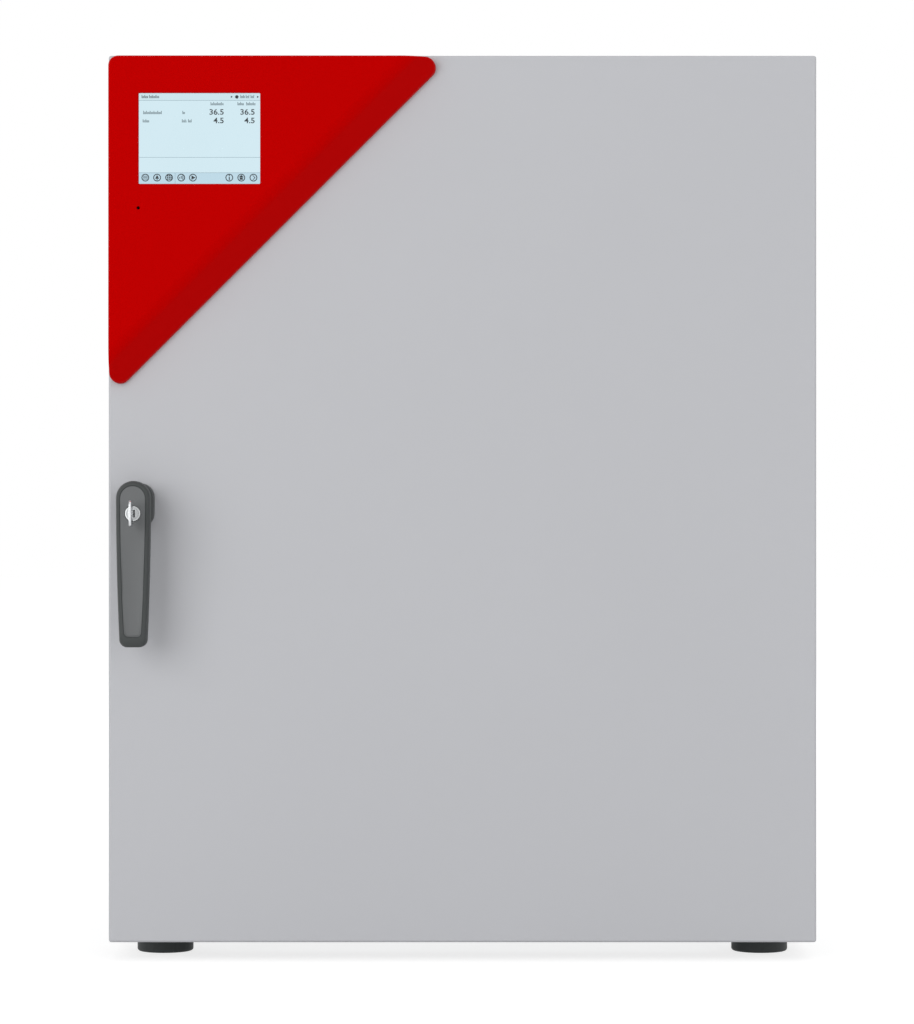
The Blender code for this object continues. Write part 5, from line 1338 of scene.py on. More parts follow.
@dataclass
class ControlPanel:
    """The red three-cornered cover with its display."""

    shop: Workshop
    leg: float = 0.326
    corner: float = 0.0096
    least_corner: float = 0.002
    edge_rise: float = 0.0048
    band: float = 0.0265
    wall: float = 0.0028
    crease: float = 0.0075
    rim_radius: float = 0.0024
    window_lip: float = 0.0010
    window_margin: float = 0.003
    window_corner: float = 0.0008
    sounder_radius: float = 0.0016
    sounder_offset: Point = (-0.0583, -0.0663)

    def build(self) -> None:
        """Make the cover and what it holds."""
        self.cover()
        Display(self.shop).build()
        self.shop.refine("controller_board", CIRCUIT_BOARD, Body.OUTER_DOOR, 0.0)

    def form(self, inset: float, back: float, sink: float, steps: int) -> tuple[Solid, Vector]:
        """The three-cornered body, cut to a slope along its long side.

        Args:
            inset: how far the outline is drawn in.
            back: the level of its back.
            sink: how far its face lies behind the cover's face.
            steps: edges in each rounded corner.

        Returns:
            The solid, and the slope's normal.
        """
        box = span("control_panel_housing")
        left, top, face = box.low.x, box.high.z, box.low.y
        door_face = span("door_shell").low.y
        far = math.sqrt(2) * inset
        corners = [(left + inset, top - inset), (left + inset, top - self.leg + inset + far),
                   (left + self.leg - inset - far, top - inset)]
        outline = rounded_outline(corners, max(self.corner - inset, self.least_corner), steps)
        body = prism(outline, Axis.Y, back, face + sink)
        edge_point = Vector((left + self.leg, door_face - self.edge_rise, top))
        slope = Vector((-1, 0, 1)).normalized() * self.band
        slope.y = face - (door_face - self.edge_rise)
        normal = slope.cross(Vector((1, 0, 1))).normalized()
        if normal.y > 0:
            normal = -normal
        edge_point -= normal * sink
        cut = bmesh.ops.bisect_plane(body, geom=body.verts[:] + body.edges[:] + body.faces[:],
                                     dist=MERGE_DISTANCE, plane_co=edge_point, plane_no=normal, clear_outer=True)
        rim = [item for item in cut["geom_cut"] if isinstance(item, bmesh.types.BMEdge)]
        bmesh.ops.contextual_create(body, geom=rim)
        bmesh.ops.recalc_face_normals(body, faces=body.faces)
        return body, normal

    def cover(self) -> None:
        """The moulded cover: soft crease, rounded rim, window with a fine lip and the sounder's hole."""
        box = span("control_panel_housing")
        body, normal = self.form(0.0, box.high.y, 0.0, 14)

        def on_crease(edge: bmesh.types.BMEdge) -> bool:
            """Whether an edge lies between the face and the slope."""
            facings = [face.normal for face in edge.link_faces]
            return any(way.y < -0.999 for way in facings) and any(way.dot(normal) > 0.999 for way in facings)

        def on_rim(edge: bmesh.types.BMEdge) -> bool:
            """Whether an edge lies between a side wall and the front."""
            facings = [face.normal for face in edge.link_faces]
            return any(abs(way.y) < 0.01 for way in facings) and any(way.y < -0.5 for way in facings)

        ease(body, self.crease, 8, 5.0, on_crease)
        ease(body, self.rim_radius, 4, 20.0, on_rim)
        window = span("touch_glass")
        margin = self.window_margin
        low = (window.low.x + margin, window.low.z + margin)
        high = (window.high.x - margin, window.high.z - margin)
        face = box.low.y
        rows = [(-2 * self.window_lip, face - self.window_lip), (0.0, face + self.window_lip),
                (0.0, face + 2 * self.wall)]
        opening = skinned([[laid(Axis.Y, level, point) for point in rectangle(low, high, self.window_corner, inset)]
                           for inset, level in rows])
        centre = window.centre
        sounder = prism(circle((centre.x + self.sounder_offset[0], centre.z + self.sounder_offset[1]),
                               self.sounder_radius, 20), Axis.Y, face - CUT_OVER, face + 2 * self.wall)
        hollow = self.form(self.wall, box.high.y + CUT_OVER / 2, self.wall, 6)[0]
        shell = carved(carved(body, hollow), opening, sounder)
        self.shop.hand_over("panel_cover", shell, PANEL_RED, Body.OUTER_DOOR, ("control_panel_housing",))


@dataclass
class Display:
    """The touch glass and the lit picture behind it, laid out in shares of the window."""

    shop: Workshop
    margin: float = 0.003
    ink_height: float = 0.00006
    plate: float = 0.0004
    number_size: float = 0.0074
    number_weight: float = 0.00012
    number_width: float = 1.13
    letter_pitch: float = 0.0009
    header_share: float = 0.075
    bar_share: float = 0.128
    icon_radius: float = 0.0037
    icon_line: float = 0.0009
    icon_shares: tuple = (0.052, 0.149, 0.248, 0.348, 0.444, 0.744, 0.843, 0.943)
    icon_row: float = 0.928
    sign_factor: float = 1.32
    over_x: float = 0.006
    over_z: float = 0.008
    rule_height: float = 0.0035
    note_share: float = 0.703
    divide_share: float = 0.296
    divide_width: float = 0.0025
    tick_half: float = 0.012
    tick_duty: float = 0.6
    corner: float = 0.002

    def __post_init__(self) -> None:
        """Take the window's place from the frame."""
        glass, module = span("touch_glass"), span("display_module")
        self.left, self.right = glass.low.x + self.margin, glass.high.x - self.margin
        self.bottom, self.top = glass.low.z + self.margin, glass.high.z - self.margin
        self.level = module.low.y + self.plate

    def at(self, across: float, down: float) -> Point:
        """A point of the picture by its shares of the width and the height, from the top left."""
        return (self.left + across * (self.right - self.left), self.top - down * (self.top - self.bottom))

    def build(self) -> None:
        """Make the glass, the module and the picture."""
        self.glass()
        self.module()
        self.fields()
        self.bars()
        self.numbers()
        self.icons()

    def glass(self) -> None:
        """The touch glass, flat and polished."""
        box = span("touch_glass")
        pane = prism(rectangle(*box.face, self.corner), Axis.Y, box.low.y, box.high.y)
        self.shop.hand_over("touch_glass_pane", ease(pane, 0.0002, 2), TOUCH_GLASS, Body.OUTER_DOOR,
                            ("touch_glass",))

    def module(self) -> None:
        """The display's dark frame behind the glass."""
        box = span("display_module")
        frame_part = prism(rectangle(*box.face, self.corner), Axis.Y, box.low.y + self.plate, box.high.y)
        self.shop.hand_over("display_frame", ease(frame_part, 0.0004, 2), SHADE_BLACK, Body.OUTER_DOOR,
                            ("display_module",))

    def patch(self, start: Point, end: Point, lift: int) -> Solid:
        """A thin flat patch of the picture.

        Args:
            start: its upper left corner in shares of the picture.
            end: its lower right corner.
            lift: how many ink layers lie under it.

        Returns:
            The patch.
        """
        (left, top), (right, bottom) = self.at(*start), self.at(*end)
        level = self.level - lift * self.ink_height
        return block((left, level - self.ink_height, bottom), (right, level, top))

    def mark(self, outline: Sequence[Point]) -> Solid:
        """A flat mark of an outline, printed on the picture."""
        return prism(outline, Axis.Y, self.level - self.ink_height, self.level - 2 * self.ink_height)

    def hand_ink(self, name: str, parts: Sequence[Solid], finish: Finish) -> None:
        """Hand over a part of the picture."""
        self.shop.hand_over(name, joined(*parts), finish, Body.OUTER_DOOR)

    def fields(self) -> None:
        """The picture's field, header strip, tool bar and thin rules."""
        left, right, bar = -self.over_x, 1 + self.over_x, 1 - self.bar_share
        for name, top, bottom, finish in (("display_field", self.header_share, bar, SCREEN_FIELD),
                                          ("display_header", -self.over_z, self.header_share, SCREEN_HEADER),
                                          ("display_bar", bar, 1 + self.over_z, SCREEN_BAR)):
            self.hand_ink(name, [self.patch((left, top), (right, bottom), 0)], finish)
        thin, divide = self.rule_height, self.divide_share
        rules = [((0.0, row), (1.0, row + thin)) for row in (self.header_share, self.note_share, bar)]
        rules.append(((divide, bar + thin), (divide + self.divide_width, 1.0)))
        self.hand_ink("display_rules", [self.patch(*rule, 1) for rule in rules], SCREEN_RULE)

    def bars(self) -> None:
        """Rows of plain ticks where a display has words."""
        strokes = [(0.022, 0.075, 0.040), (0.083, 0.165, 0.040), (0.035, 0.190, 0.216), (0.031, 0.088, 0.308),
                   (0.358, 0.382, 0.216), (0.354, 0.392, 0.308), (0.405, 0.436, 0.308), (0.590, 0.700, 0.119),
                   (0.812, 0.868, 0.119), (0.884, 0.965, 0.119), (0.836, 0.872, 0.040), (0.880, 0.912, 0.040),
                   (0.920, 0.952, 0.040)]
        title, words = ([tick for stroke in part for tick in self.ticks(*stroke)]
                        for part in (strokes[:2], strokes[2:]))
        self.hand_ink("display_title", title, SCREEN_INK)
        self.hand_ink("display_strokes", words, SCREEN_FAINT)
        marks = [(0.762, 0.011, 3), (0.806, 0.016, 6), (0.978, 0.011, 3)]
        spots = [self.mark(circle(self.at(across, 0.038), share * (self.right - self.left), sides))
                 for across, share, sides in marks]
        self.hand_ink("display_marks", spots, SCREEN_INK)

    def ticks(self, start: float, end: float, row: float) -> list[Solid]:
        """The upright ticks of one word, some of them taller.

        Args:
            start: where the word starts, as a share of the width.
            end: where it ends.
            row: its middle, as a share of the height.

        Returns:
            The ticks.
        """
        share, half = self.letter_pitch / (self.right - self.left), self.tick_half
        parts = []
        for number in range(max(round((end - start) / share), 1)):
            left = start + number * share
            tall = half if number == 0 or number % 4 == 3 else 0.0
            parts.append(self.patch((left, row - half - tall), (left + self.tick_duty * share, row + half), 1))
        return parts

    def numbers(self) -> None:
        """Plain numbers in two columns."""
        rows = [("36.5", 0.701, 0.233), ("36.5", 0.956, 0.233), ("4.5", 0.701, 0.327), ("4.5", 0.956, 0.327)]
        parts = []
        for text, across, down in rows:
            x, z = self.at(across, down)
            parts.append(self.lettering(text, x, z))
        self.hand_ink("display_numbers", parts, SCREEN_INK)

    def lettering(self, text: str, x: float, z: float) -> Solid:
        """A number as a thin mesh.

        Args:
            text: the number.
            x: the place of its right end.
            z: the height of its foot.

        Returns:
            The mesh.
        """
        curve = bpy.data.curves.new("number", "FONT")
        curve.body = text
        curve.size = self.number_size
        curve.align_x = "RIGHT"
        curve.extrude = self.ink_height / 2
        curve.offset = self.number_weight
        item = linked("number", curve)
        letters = evaluated(item)
        bpy.data.objects.remove(item)
        bpy.data.curves.remove(curve)
        place = Matrix.Translation((x, self.level - 1.5 * self.ink_height, z)) @ Matrix.Rotation(math.pi / 2, 4, "X")
        wide = Matrix.Diagonal((self.number_width, 1.0, 1.0, 1.0))
        bmesh.ops.transform(letters, matrix=place @ wide, verts=letters.verts)
        bmesh.ops.remove_doubles(letters, verts=letters.verts, dist=MERGE_DISTANCE)
        bmesh.ops.recalc_face_normals(letters, faces=letters.faces)
        return letters

    def icons(self) -> None:
        """Eight round buttons with plain signs in them."""
        level, size = self.level - self.ink_height, self.icon_radius
        sign_size = self.sign_factor * size
        rings, signs = [], []
        for number, across in enumerate(self.icon_shares):
            centre = self.at(across, self.icon_row)
            rows = [(size, level), (size, level - self.ink_height), (size - self.icon_line, level - self.ink_height),
                    (size - self.icon_line, level)]
            rings.append(turned(rows, centre, Axis.Y, 40, closed=True))
            signs += [self.mark([(centre[0] + a * sign_size, centre[1] + b * sign_size) for a, b in outline])
                      for outline in self.sign(number)]
        self.hand_ink("display_icon_rings", rings, SCREEN_ICON)
        self.hand_ink("display_icon_signs", signs, SCREEN_INK)

    @staticmethod
    def sign(number: int) -> list[list[Point]]:
        """The outlines of one button's sign, in shares of the ring's radius.

        Args:
            number: the button's place in the row.

        Returns:
            Closed outlines that don't touch each other.
        """
        def bar(left: float, low: float, right: float, high: float) -> list[Point]:
            """A bar between two corners."""
            return [(left, low), (right, low), (right, high), (left, high)]

        lines = [bar(-0.45, height, 0.45, height + 0.12) for height in (-0.34, -0.06, 0.22)]
        grid = [bar(x, z, x + 0.26, z + 0.26) for x in (-0.42, -0.08, 0.26) for z in (-0.42, -0.08, 0.26)]
        return (
            lines,
            [rounded_outline([(-0.42, -0.25), (0.42, -0.25), (0.0, 0.60)], 0.12, 4), circle((0.0, -0.42), 0.12, 10)],
            grid,
            [bar(-0.40, -0.20, -0.24, 0.10), bar(-0.08, -0.20, 0.08, 0.32), bar(0.24, -0.42, 0.40, 0.50)],
            [[(-0.28, -0.46), (0.50, 0.0), (-0.28, 0.46)]],
            [bar(-0.10, -0.48, 0.10, 0.18), circle((0.0, 0.42), 0.13, 10)],
            [bar(-0.30, -0.42, 0.30, 0.02), [(-0.52, 0.06), (0.52, 0.06), (0.0, 0.54)]],
            [[(-0.22, -0.48), (-0.06, -0.48), (0.40, 0.0), (-0.06, 0.48), (-0.22, 0.48), (0.20, 0.0)]],
        )[number]


# Handle, latch and lock

@dataclass
class LeverHandle:
    """Rosette, lever with its paler face, latch, lock cylinder and key."""

    shop: Workshop
    head_radius: float = 0.0163
    foot_width: float = 0.0264
    foot_corner: float = 0.0075
    border: tuple = (0.0031, 0.0036, 0.0036, 0.0086)
    side_steps: int = 8
    side_swell: float = 1.9
    dish: float = 0.0022
    dish_run: float = 0.016
    dish_start: float = 0.013
    dish_cuts: int = 10
    shoulder: float = 0.0065
    back_round: float = 0.0024
    groove: float = 0.0005
    groove_depth: float = 0.0004
    back_reach: float = 0.018
    back_share: float = 0.7
    round_steps: int = 6
    hub_radius: float = 0.0125
    rosette_corner: float = 0.0132
    rosette_depth: float = 0.0052
    rosette_reach: float = 0.0042
    lock_radius: float = 0.0075
    lock_length: float = 0.014
    keyway_half: float = 0.0021
    keyway_tall: float = 0.0072
    key_thickness: float = 0.0022
    key_bow: float = 0.025
    key_neck: float = 0.005
    blade_half: float = 0.0034
    ring_hole: float = 0.0035
    ring_inset: float = 0.0065

    def __post_init__(self) -> None:
        """Take the turning axis and the levels from the frame."""
        lock, lever = span("lock_cylinder"), span("handle_lever")
        self.x, self.z = lock.centre.x, lock.centre.z
        self.top, self.bottom = lever.high.z, lever.low.z
        self.front = lever.low.y
        self.back = self.front + self.back_reach

    def build(self) -> None:
        """Make every piece of the handle."""
        self.rosette()
        self.lever()
        self.lock()
        self.key()
        self.shop.refine("latch_shaft", STAINLESS, Body.HANDLE, 0.0003)
        self.shop.refine("latch_tongue", PLATED_STEEL, Body.HANDLE, 0.0005)
        self.shop.refine("latch_keeper", PLATED_STEEL, Body.CABINET, 0.0004)

    def rosette(self) -> None:
        """The boss on the door that the lever turns on."""
        box = span("handle_base")
        rows = [(0.0, box.high.y)]
        rows += [(self.rosette_reach * (1 - math.cos(turn)), box.low.y + self.rosette_depth * (1 - math.sin(turn)))
                 for turn in quarter_turn(self.round_steps)]
        loops = [[laid(Axis.Y, level, point) for point in
                  rectangle(*box.face, self.rosette_corner, inset)] for inset, level in rows]
        self.shop.hand_over("handle_rosette", skinned(loops), LEVER_BORDER_PAINTED_SHADE, Body.OUTER_DOOR, ("handle_base",))

    def outline(self, share: float) -> list[Point]:
        """The lever's front outline; its sides swell a little.

        Args:
            share: how much of its border it is drawn in by.

        Returns:
            Its points.
        """
        side, foot_side, above, below = (share * width for width in self.border)
        head = self.head_radius - side
        crown = self.top - above - head
        foot = self.foot_width / 2 - foot_side
        corner = min(self.foot_corner, foot * 0.6)
        low = self.bottom + below
        turns = [math.pi * step / 24 for step in range(25)]
        points = [(self.x + head * math.cos(turn), crown + head * math.sin(turn)) for turn in turns]
        flank = [step / self.side_steps for step in range(1, self.side_steps)]
        for way, start, run in ((-1, math.pi, flank), (1, 1.5 * math.pi, ())):
            points += [self.flank_point(way, reach, head, foot, crown, low + corner) for reach in run]
            for step in range(ARC_STEPS + 1):
                turn = start + math.pi / 2 * step / ARC_STEPS
                points.append((self.x + way * (foot - corner) + corner * math.cos(turn),
                               low + corner + corner * math.sin(turn)))
        points += [self.flank_point(1, reach, head, foot, crown, low + corner) for reach in reversed(flank)]
        return points

    def flank_point(self, way: int, reach: float, head: float, foot: float, crown: float, low: float) -> Point:
        """A point of one side at a share of the way from the head down to the foot."""
        half = head - (head - foot) * reach ** self.side_swell
        return (self.x + way * half, crown + (low - crown) * reach)

    def dished(self, body: Solid) -> None:
        """Press a shallow hollow into the face below the lock.

        Args:
            body: the lever.
        """
        def face_parts() -> list[bmesh.types.BMFace]:
            """The faces of the paler part."""
            return [each for each in body.faces if each.material_index == 1]

        low, high = self.bottom, self.z - self.dish_start
        cuts = [(Vector((self.x + share * self.head_radius, 0.0, 0.0)), Axis.X.way)
                for share in (step / (self.dish_cuts / 2) - 1 for step in range(1, self.dish_cuts))]
        cuts += [(Vector((0.0, 0.0, low + (high - low) * step / self.dish_cuts)), Axis.Z.way)
                 for step in range(1, self.dish_cuts + 1)]
        for place, way in cuts:
            parts = face_parts()
            items = set(parts)
            for part in parts:
                items.update(part.edges, part.verts)
            bmesh.ops.bisect_plane(body, geom=list(items), dist=MERGE_DISTANCE, plane_co=place, plane_no=way)
        for vert in {vert for part in face_parts() for vert in part.verts}:
            if any(each.material_index != 1 for each in vert.link_faces):
                continue
            across = (vert.co.x - self.x) / (self.head_radius - self.border[0])
            fade = min(max((high - vert.co.z) / self.dish_run, 0.0), 1.0)
            vert.co.y += self.dish * max(1 - across * across, 0.0) * fade * fade * (3 - 2 * fade)

    def lever(self) -> None:
        """The lever: rounded back, dished shoulder, a fine groove and the paler face inside it; its dark border
        carries painted shade and its pale face painted light.
        """
        quarter = quarter_turn(self.round_steps)
        rows = [(self.back_share * (1 - math.sin(turn)), self.back - self.back_round * (1 - math.cos(turn)))
                for turn in quarter]
        rows += [(1 - math.cos(turn), self.front + self.shoulder * (1 - math.sin(turn))) for turn in quarter]
        loops = [[laid(Axis.Y, level, point) for point in self.outline(share)] for share, level in rows]
        body = skinned(loops)
        body.faces.ensure_lookup_table()
        face = min(body.faces, key=lambda each: each.calc_center_median().y)
        for depth in (0.0, -self.groove_depth, self.groove_depth):
            bmesh.ops.inset_region(body, faces=[face], thickness=self.groove, depth=depth, use_even_offset=True)
        face.material_index = 1
        self.dished(body)
        hub = prism(circle((self.x, self.z), self.hub_radius), Axis.Y, self.back - CUT_OVER,
                    span("handle_base").low.y - SEAT_GAP)
        bore = prism(circle((self.x, self.z), self.lock_radius + SEAT_GAP, TURN_STEPS), Axis.Y,
                     self.front - CUT_OVER, self.front + self.lock_length)
        grip = joined(carved(body, bore), ease(hub, 0.0004, 2))
        self.shop.hand_over("lever_grip", grip, (LEVER_BORDER_PAINTED_SHADE, LEVER_FACE_PAINTED_LIGHT), Body.HANDLE, ("handle_lever",))

    def lock(self) -> None:
        """The lock cylinder with a stepped face and its keyway."""
        front = self.front
        corners = [(0.0, front + 0.0004), (0.0052, front + 0.0004), (0.0056, front), (self.lock_radius, front),
                   (self.lock_radius, front + self.lock_length), (0.0, front + self.lock_length)]
        profile = rounded_outline(corners, [0, 0.0002, 0.0002, 0.0007, 0.0003, 0], 4, closed=False)
        barrel = turned(profile, (self.x, self.z), Axis.Y)
        left, right, tall = self.x - self.keyway_half, self.x + self.keyway_half, self.keyway_tall / 2
        keyway = block((left, front - CUT_OVER, self.z - tall),
                       (right, front + self.lock_length - CUT_OVER / 2, self.z + tall))
        cut = carved(barrel, keyway)
        # The keyway's inner faces take the black shade finish: painted shade in the slot.
        for each in cut.faces:
            place = each.calc_center_median()
            inside = abs(place.x - self.x) < 1.01 * self.keyway_half and abs(place.z - self.z) < 1.01 * tall
            each.material_index = 1 if inside and place.y > front + 0.0005 else 0
        self.shop.hand_over("lock_barrel", cut, (LOCK_METAL, SHADE_BLACK), Body.LOCK, ("lock_cylinder",))

    def key(self) -> None:
        """The key: a bow with a ring hole, a neck and a milled blade."""
        box = span("door_key")
        neck, tip, bow = self.front - self.key_neck, box.high.y, box.low.y
        half, blade = self.key_bow / 2, self.blade_half
        corners = [(tip, -blade), (tip, blade), (neck, blade), (neck, half), (bow, half), (bow, -half),
                   (neck, -half), (neck, -blade)]
        outline = rounded_outline(corners, [0.0016, 0.0016, 0.001, 0.006, 0.006, 0.006, 0.006, 0.001])
        blank = prism([(y, self.z + z) for y, z in outline], Axis.X, self.x - self.key_thickness / 2,
                      self.x + self.key_thickness / 2)
        ease(blank, 0.0003, 2, 50.0)
        hole = prism(circle((bow + self.ring_inset, self.z), self.ring_hole), Axis.X, self.x - 2 * CUT_OVER,
                     self.x + 2 * CUT_OVER)
        mill = block((self.x + 0.0005, neck + 0.001, self.z - 0.0009), (self.x + 0.002, tip + 0.001, self.z + 0.0009))
        self.shop.hand_over("key_blank", carved(blank, hole, mill), KEY_METAL, Body.KEY, ("door_key",))


# Chamber

@dataclass
class Chamber:
    """Drawn stainless liner, seal, sensors, shelves, water pan and what lies behind the rear wall."""

    shop: Workshop
    sheet: float = 0.0015
    slot_columns: int = 12
    slot_rows: int = 2
    slot_width: float = 0.026
    slot_web: float = 0.025
    rib_reach: float = 0.009
    shelf_edge: float = 0.006
    fold: float = 0.003
    least_fold: float = 0.0005
    slot_round: float = 0.46
    seal_width: float = 0.008
    seal_corner: float = 0.026
    seal_round: float = 0.003
    pan_corner: float = 0.020
    pan_bend: float = 0.006
    pan_sheet: float = 0.0012
    sensor_reach: float = 0.018
    sensor_flange: float = 0.005
    sensor_flange_depth: float = 0.003

    def build(self) -> None:
        """Make every piece in and behind the chamber."""
        self.shop.refine("chamber_liner", STAINLESS_DEEP, Body.CABINET, 0.0)
        self.seal()
        for name, body in (("lower", Body.LOWER_SHELF), ("middle", Body.MIDDLE_SHELF), ("upper", Body.UPPER_SHELF)):
            self.shelf(name, body)
        self.pan()
        self.sensors()
        self.shop.refine("fan_wheel", DARK_PLASTIC, Body.FAN, 0.0)
        self.shop.refine("fan_motor", MOTOR_GREY, Body.CABINET, 0.0)
        self.heater()
        self.shop.refine("air_jacket", GALVANISED, Body.CABINET, 0.0)
        self.shop.dress("cabinet_insulation", FOAM)
        self.shop.refine("main_board", CIRCUIT_BOARD, Body.CABINET, 0.0)
        self.shop.refine("gas_valve", BRASS, Body.CABINET, 0.0005)

    def seal(self) -> None:
        """The white seal on the recess wall that the glass door closes on."""
        box = span("glass_seal")
        section = rounded_outline([(0.0, box.high.y), (0.0, box.low.y), (self.seal_width, box.low.y),
                                   (self.seal_width, box.high.y)], [0, self.seal_round, self.seal_round, 0], 6)
        ring = ring_section(*box.face, self.seal_corner, section)
        self.shop.hand_over("glass_door_seal", ring, WHITE_SILICONE, Body.CABINET, ("glass_seal",))

    def shelf(self, name: str, body: Body) -> None:
        """One shelf: a folded sheet with long round-ended slots.

        Args:
            name: lower, middle or upper.
            body: the shelf's body.
        """
        box = span(f"shelf_{name}")
        top, front, rear = box.high.z, box.low.y, box.high.y
        low, over = box.low.z, CUT_OVER / 2
        inner = max(self.fold - self.sheet, self.least_fold)
        corners = [(front, low), (front, top), (rear, top), (rear, low), (rear - self.sheet, low),
                   (rear - self.sheet, top - self.sheet), (front + self.sheet, top - self.sheet),
                   (front + self.sheet, low)]
        outline = rounded_outline(corners, [0, self.fold, self.fold, 0, 0, inner, inner, 0], 5)
        sheet = prism(outline, Axis.X, box.low.x, box.high.x)
        clear = span("chamber_liner").high.x - 0.0012 - self.rib_reach - self.shelf_edge
        web = (2 * clear - self.slot_columns * self.slot_width) / (self.slot_columns + 1)
        length = (rear - front - (self.slot_rows + 1) * self.slot_web) / self.slot_rows
        cutters = []
        for column in range(self.slot_columns):
            left = -clear + web + column * (self.slot_width + web)
            for row in range(self.slot_rows):
                near = front + self.slot_web + row * (length + self.slot_web)
                slot = rectangle((left, near), (left + self.slot_width, near + length),
                                 self.slot_width * self.slot_round)
                cutters.append(prism(slot, Axis.Z, top - 2 * self.sheet, top + over))
        for start, end in ((box.low.x - over, -clear), (clear, box.high.x + over)):
            for near, far in ((front - over, front + self.fold), (rear - self.fold, rear + over)):
                cutters.append(block((start, near, low - over), (end, far, top - self.sheet - over / 10)))
        self.shop.hand_over(f"slotted_shelf_{name}", carved(sheet, *cutters), STAINLESS, body, (f"shelf_{name}",))

    def pan(self) -> None:
        """The water pan."""
        box = span("water_pan")
        tray = folded_tray((box.low.x, box.low.y), (box.high.x, box.high.y), self.pan_corner, self.pan_bend,
                           self.pan_sheet, Axis.Z, box.low.z, box.high.z)
        self.shop.hand_over("water_tray", tray, STAINLESS, Body.PAN, ("water_pan",))

    def sensors(self) -> None:
        """The gas sensor's filter cap, the temperature probe and the gas head on the rear wall."""
        for name, radius, stem, finish in (("co2_sensor", 0.014, 0.006, WHITE_SILICONE),
                                           ("temperature_probe", 0.003, 0.0025, STAINLESS_DEEP),
                                           ("gas_mixing_head", 0.010, 0.005, STAINLESS_DEEP)):
            box = span(name)
            wall, nose, rim = box.high.y - self.sensor_reach, box.low.y, radius + self.sensor_flange
            step = wall - self.sensor_flange_depth
            corners = [(0.0, nose), (radius, nose), (radius, step), (rim, step), (rim, wall), (stem, wall),
                       (stem, box.high.y), (0.0, box.high.y)]
            profile = rounded_outline(corners, [0, radius * 0.7, 0.0006, 0.0010, 0.0002, 0, 0.0004, 0], 5,
                                      closed=False)
            self.shop.hand_over(f"{name}_turned", turned(profile, box.eye, Axis.Y, 48), finish, Body.CABINET, (name,))

    def heater(self) -> None:
        """The ring-shaped tube heater behind the fan."""
        box = span("heating_ring")
        tube = box.size.y / 2
        radius = box.size.x / 2 - tube
        level = box.centre.y
        profile = [(radius + a, level + b) for a, b in circle((0.0, 0.0), tube, 16)]
        ring = turned(profile, box.eye, Axis.Y, 96, closed=True)
        self.shop.hand_over("heater_tube", ring, STAINLESS, Body.CABINET, ("heating_ring",))


@dataclass
class GlassDoor:
    """The inner glass door with its hinges, knob and catch."""

    shop: Workshop
    pane_corner: float = 0.010
    knob_hole: float = 0.0043
    knob_stem: float = 0.004
    knob_radius: float = 0.011
    knob_height: float = 0.0085
    nut_radius: float = 0.0075
    nut_height: float = 0.0028
    tab_half: float = 0.0035

    def build(self) -> None:
        """Make every piece of the glass door."""
        self.pane()
        self.knob()
        for name in ("upper", "lower"):
            self.shop.refine(f"glass_hinge_bracket_{name}", STAINLESS, Body.CABINET, 0.0004)
            self.shop.refine(f"glass_hinge_plate_{name}", STAINLESS, Body.GLASS_DOOR, 0.0004)
        self.shop.refine("glass_catch", STAINLESS, Body.CABINET, 0.0003)

    def pane(self) -> None:
        """The pane with ground edges."""
        box = span("glass_pane")
        pane = prism(rectangle(*box.face, self.pane_corner), Axis.Y, box.low.y, box.high.y)
        ease(pane, 0.0007, 2, 60.0)
        hole = prism(circle(span("glass_knob").eye, self.knob_hole), Axis.Y, box.low.y - CUT_OVER,
                     box.high.y + CUT_OVER)
        self.shop.hand_over("inner_door_pane", carved(pane, hole), PANE_GLASS, Body.GLASS_DOOR, ("glass_pane",))

    def knob(self) -> None:
        """The turning knob with its locking tab, through the pane."""
        box, pane = span("glass_knob"), span("glass_pane")
        front, back, x, z = pane.low.y, pane.high.y, box.centre.x, span("lock_cylinder").centre.z
        nose, end, half, taper = front - self.knob_height, back + self.nut_height, self.tab_half, 0.0005
        corners = [(0.0, nose), (self.knob_radius - taper, nose), (self.knob_radius, front - SEAT_GAP),
                   (self.knob_stem, front - SEAT_GAP), (self.knob_stem, back + SEAT_GAP),
                   (self.nut_radius, back + SEAT_GAP), (self.nut_radius, end), (0.0, end)]
        profile = rounded_outline(corners, [0, 0.0035, 0.0003, 0, 0, 0.0003, 0.0012, 0], 6, closed=False)
        knob = turned(profile, (x, z), Axis.Y)
        tab = prism(rounded_outline([(x - half, z), (x + half, z), (x + half, box.high.z), (x - half, box.high.z)],
                                    [0, 0, 0.0025, 0.0025]), Axis.Y, front - 0.0028, front - 0.0006)
        self.shop.hand_over("inner_door_knob", joined(knob, ease(tab, 0.0004, 2)), WHITE_SILICONE,
                            Body.GLASS_KNOB, ("glass_knob",))


# Rear services

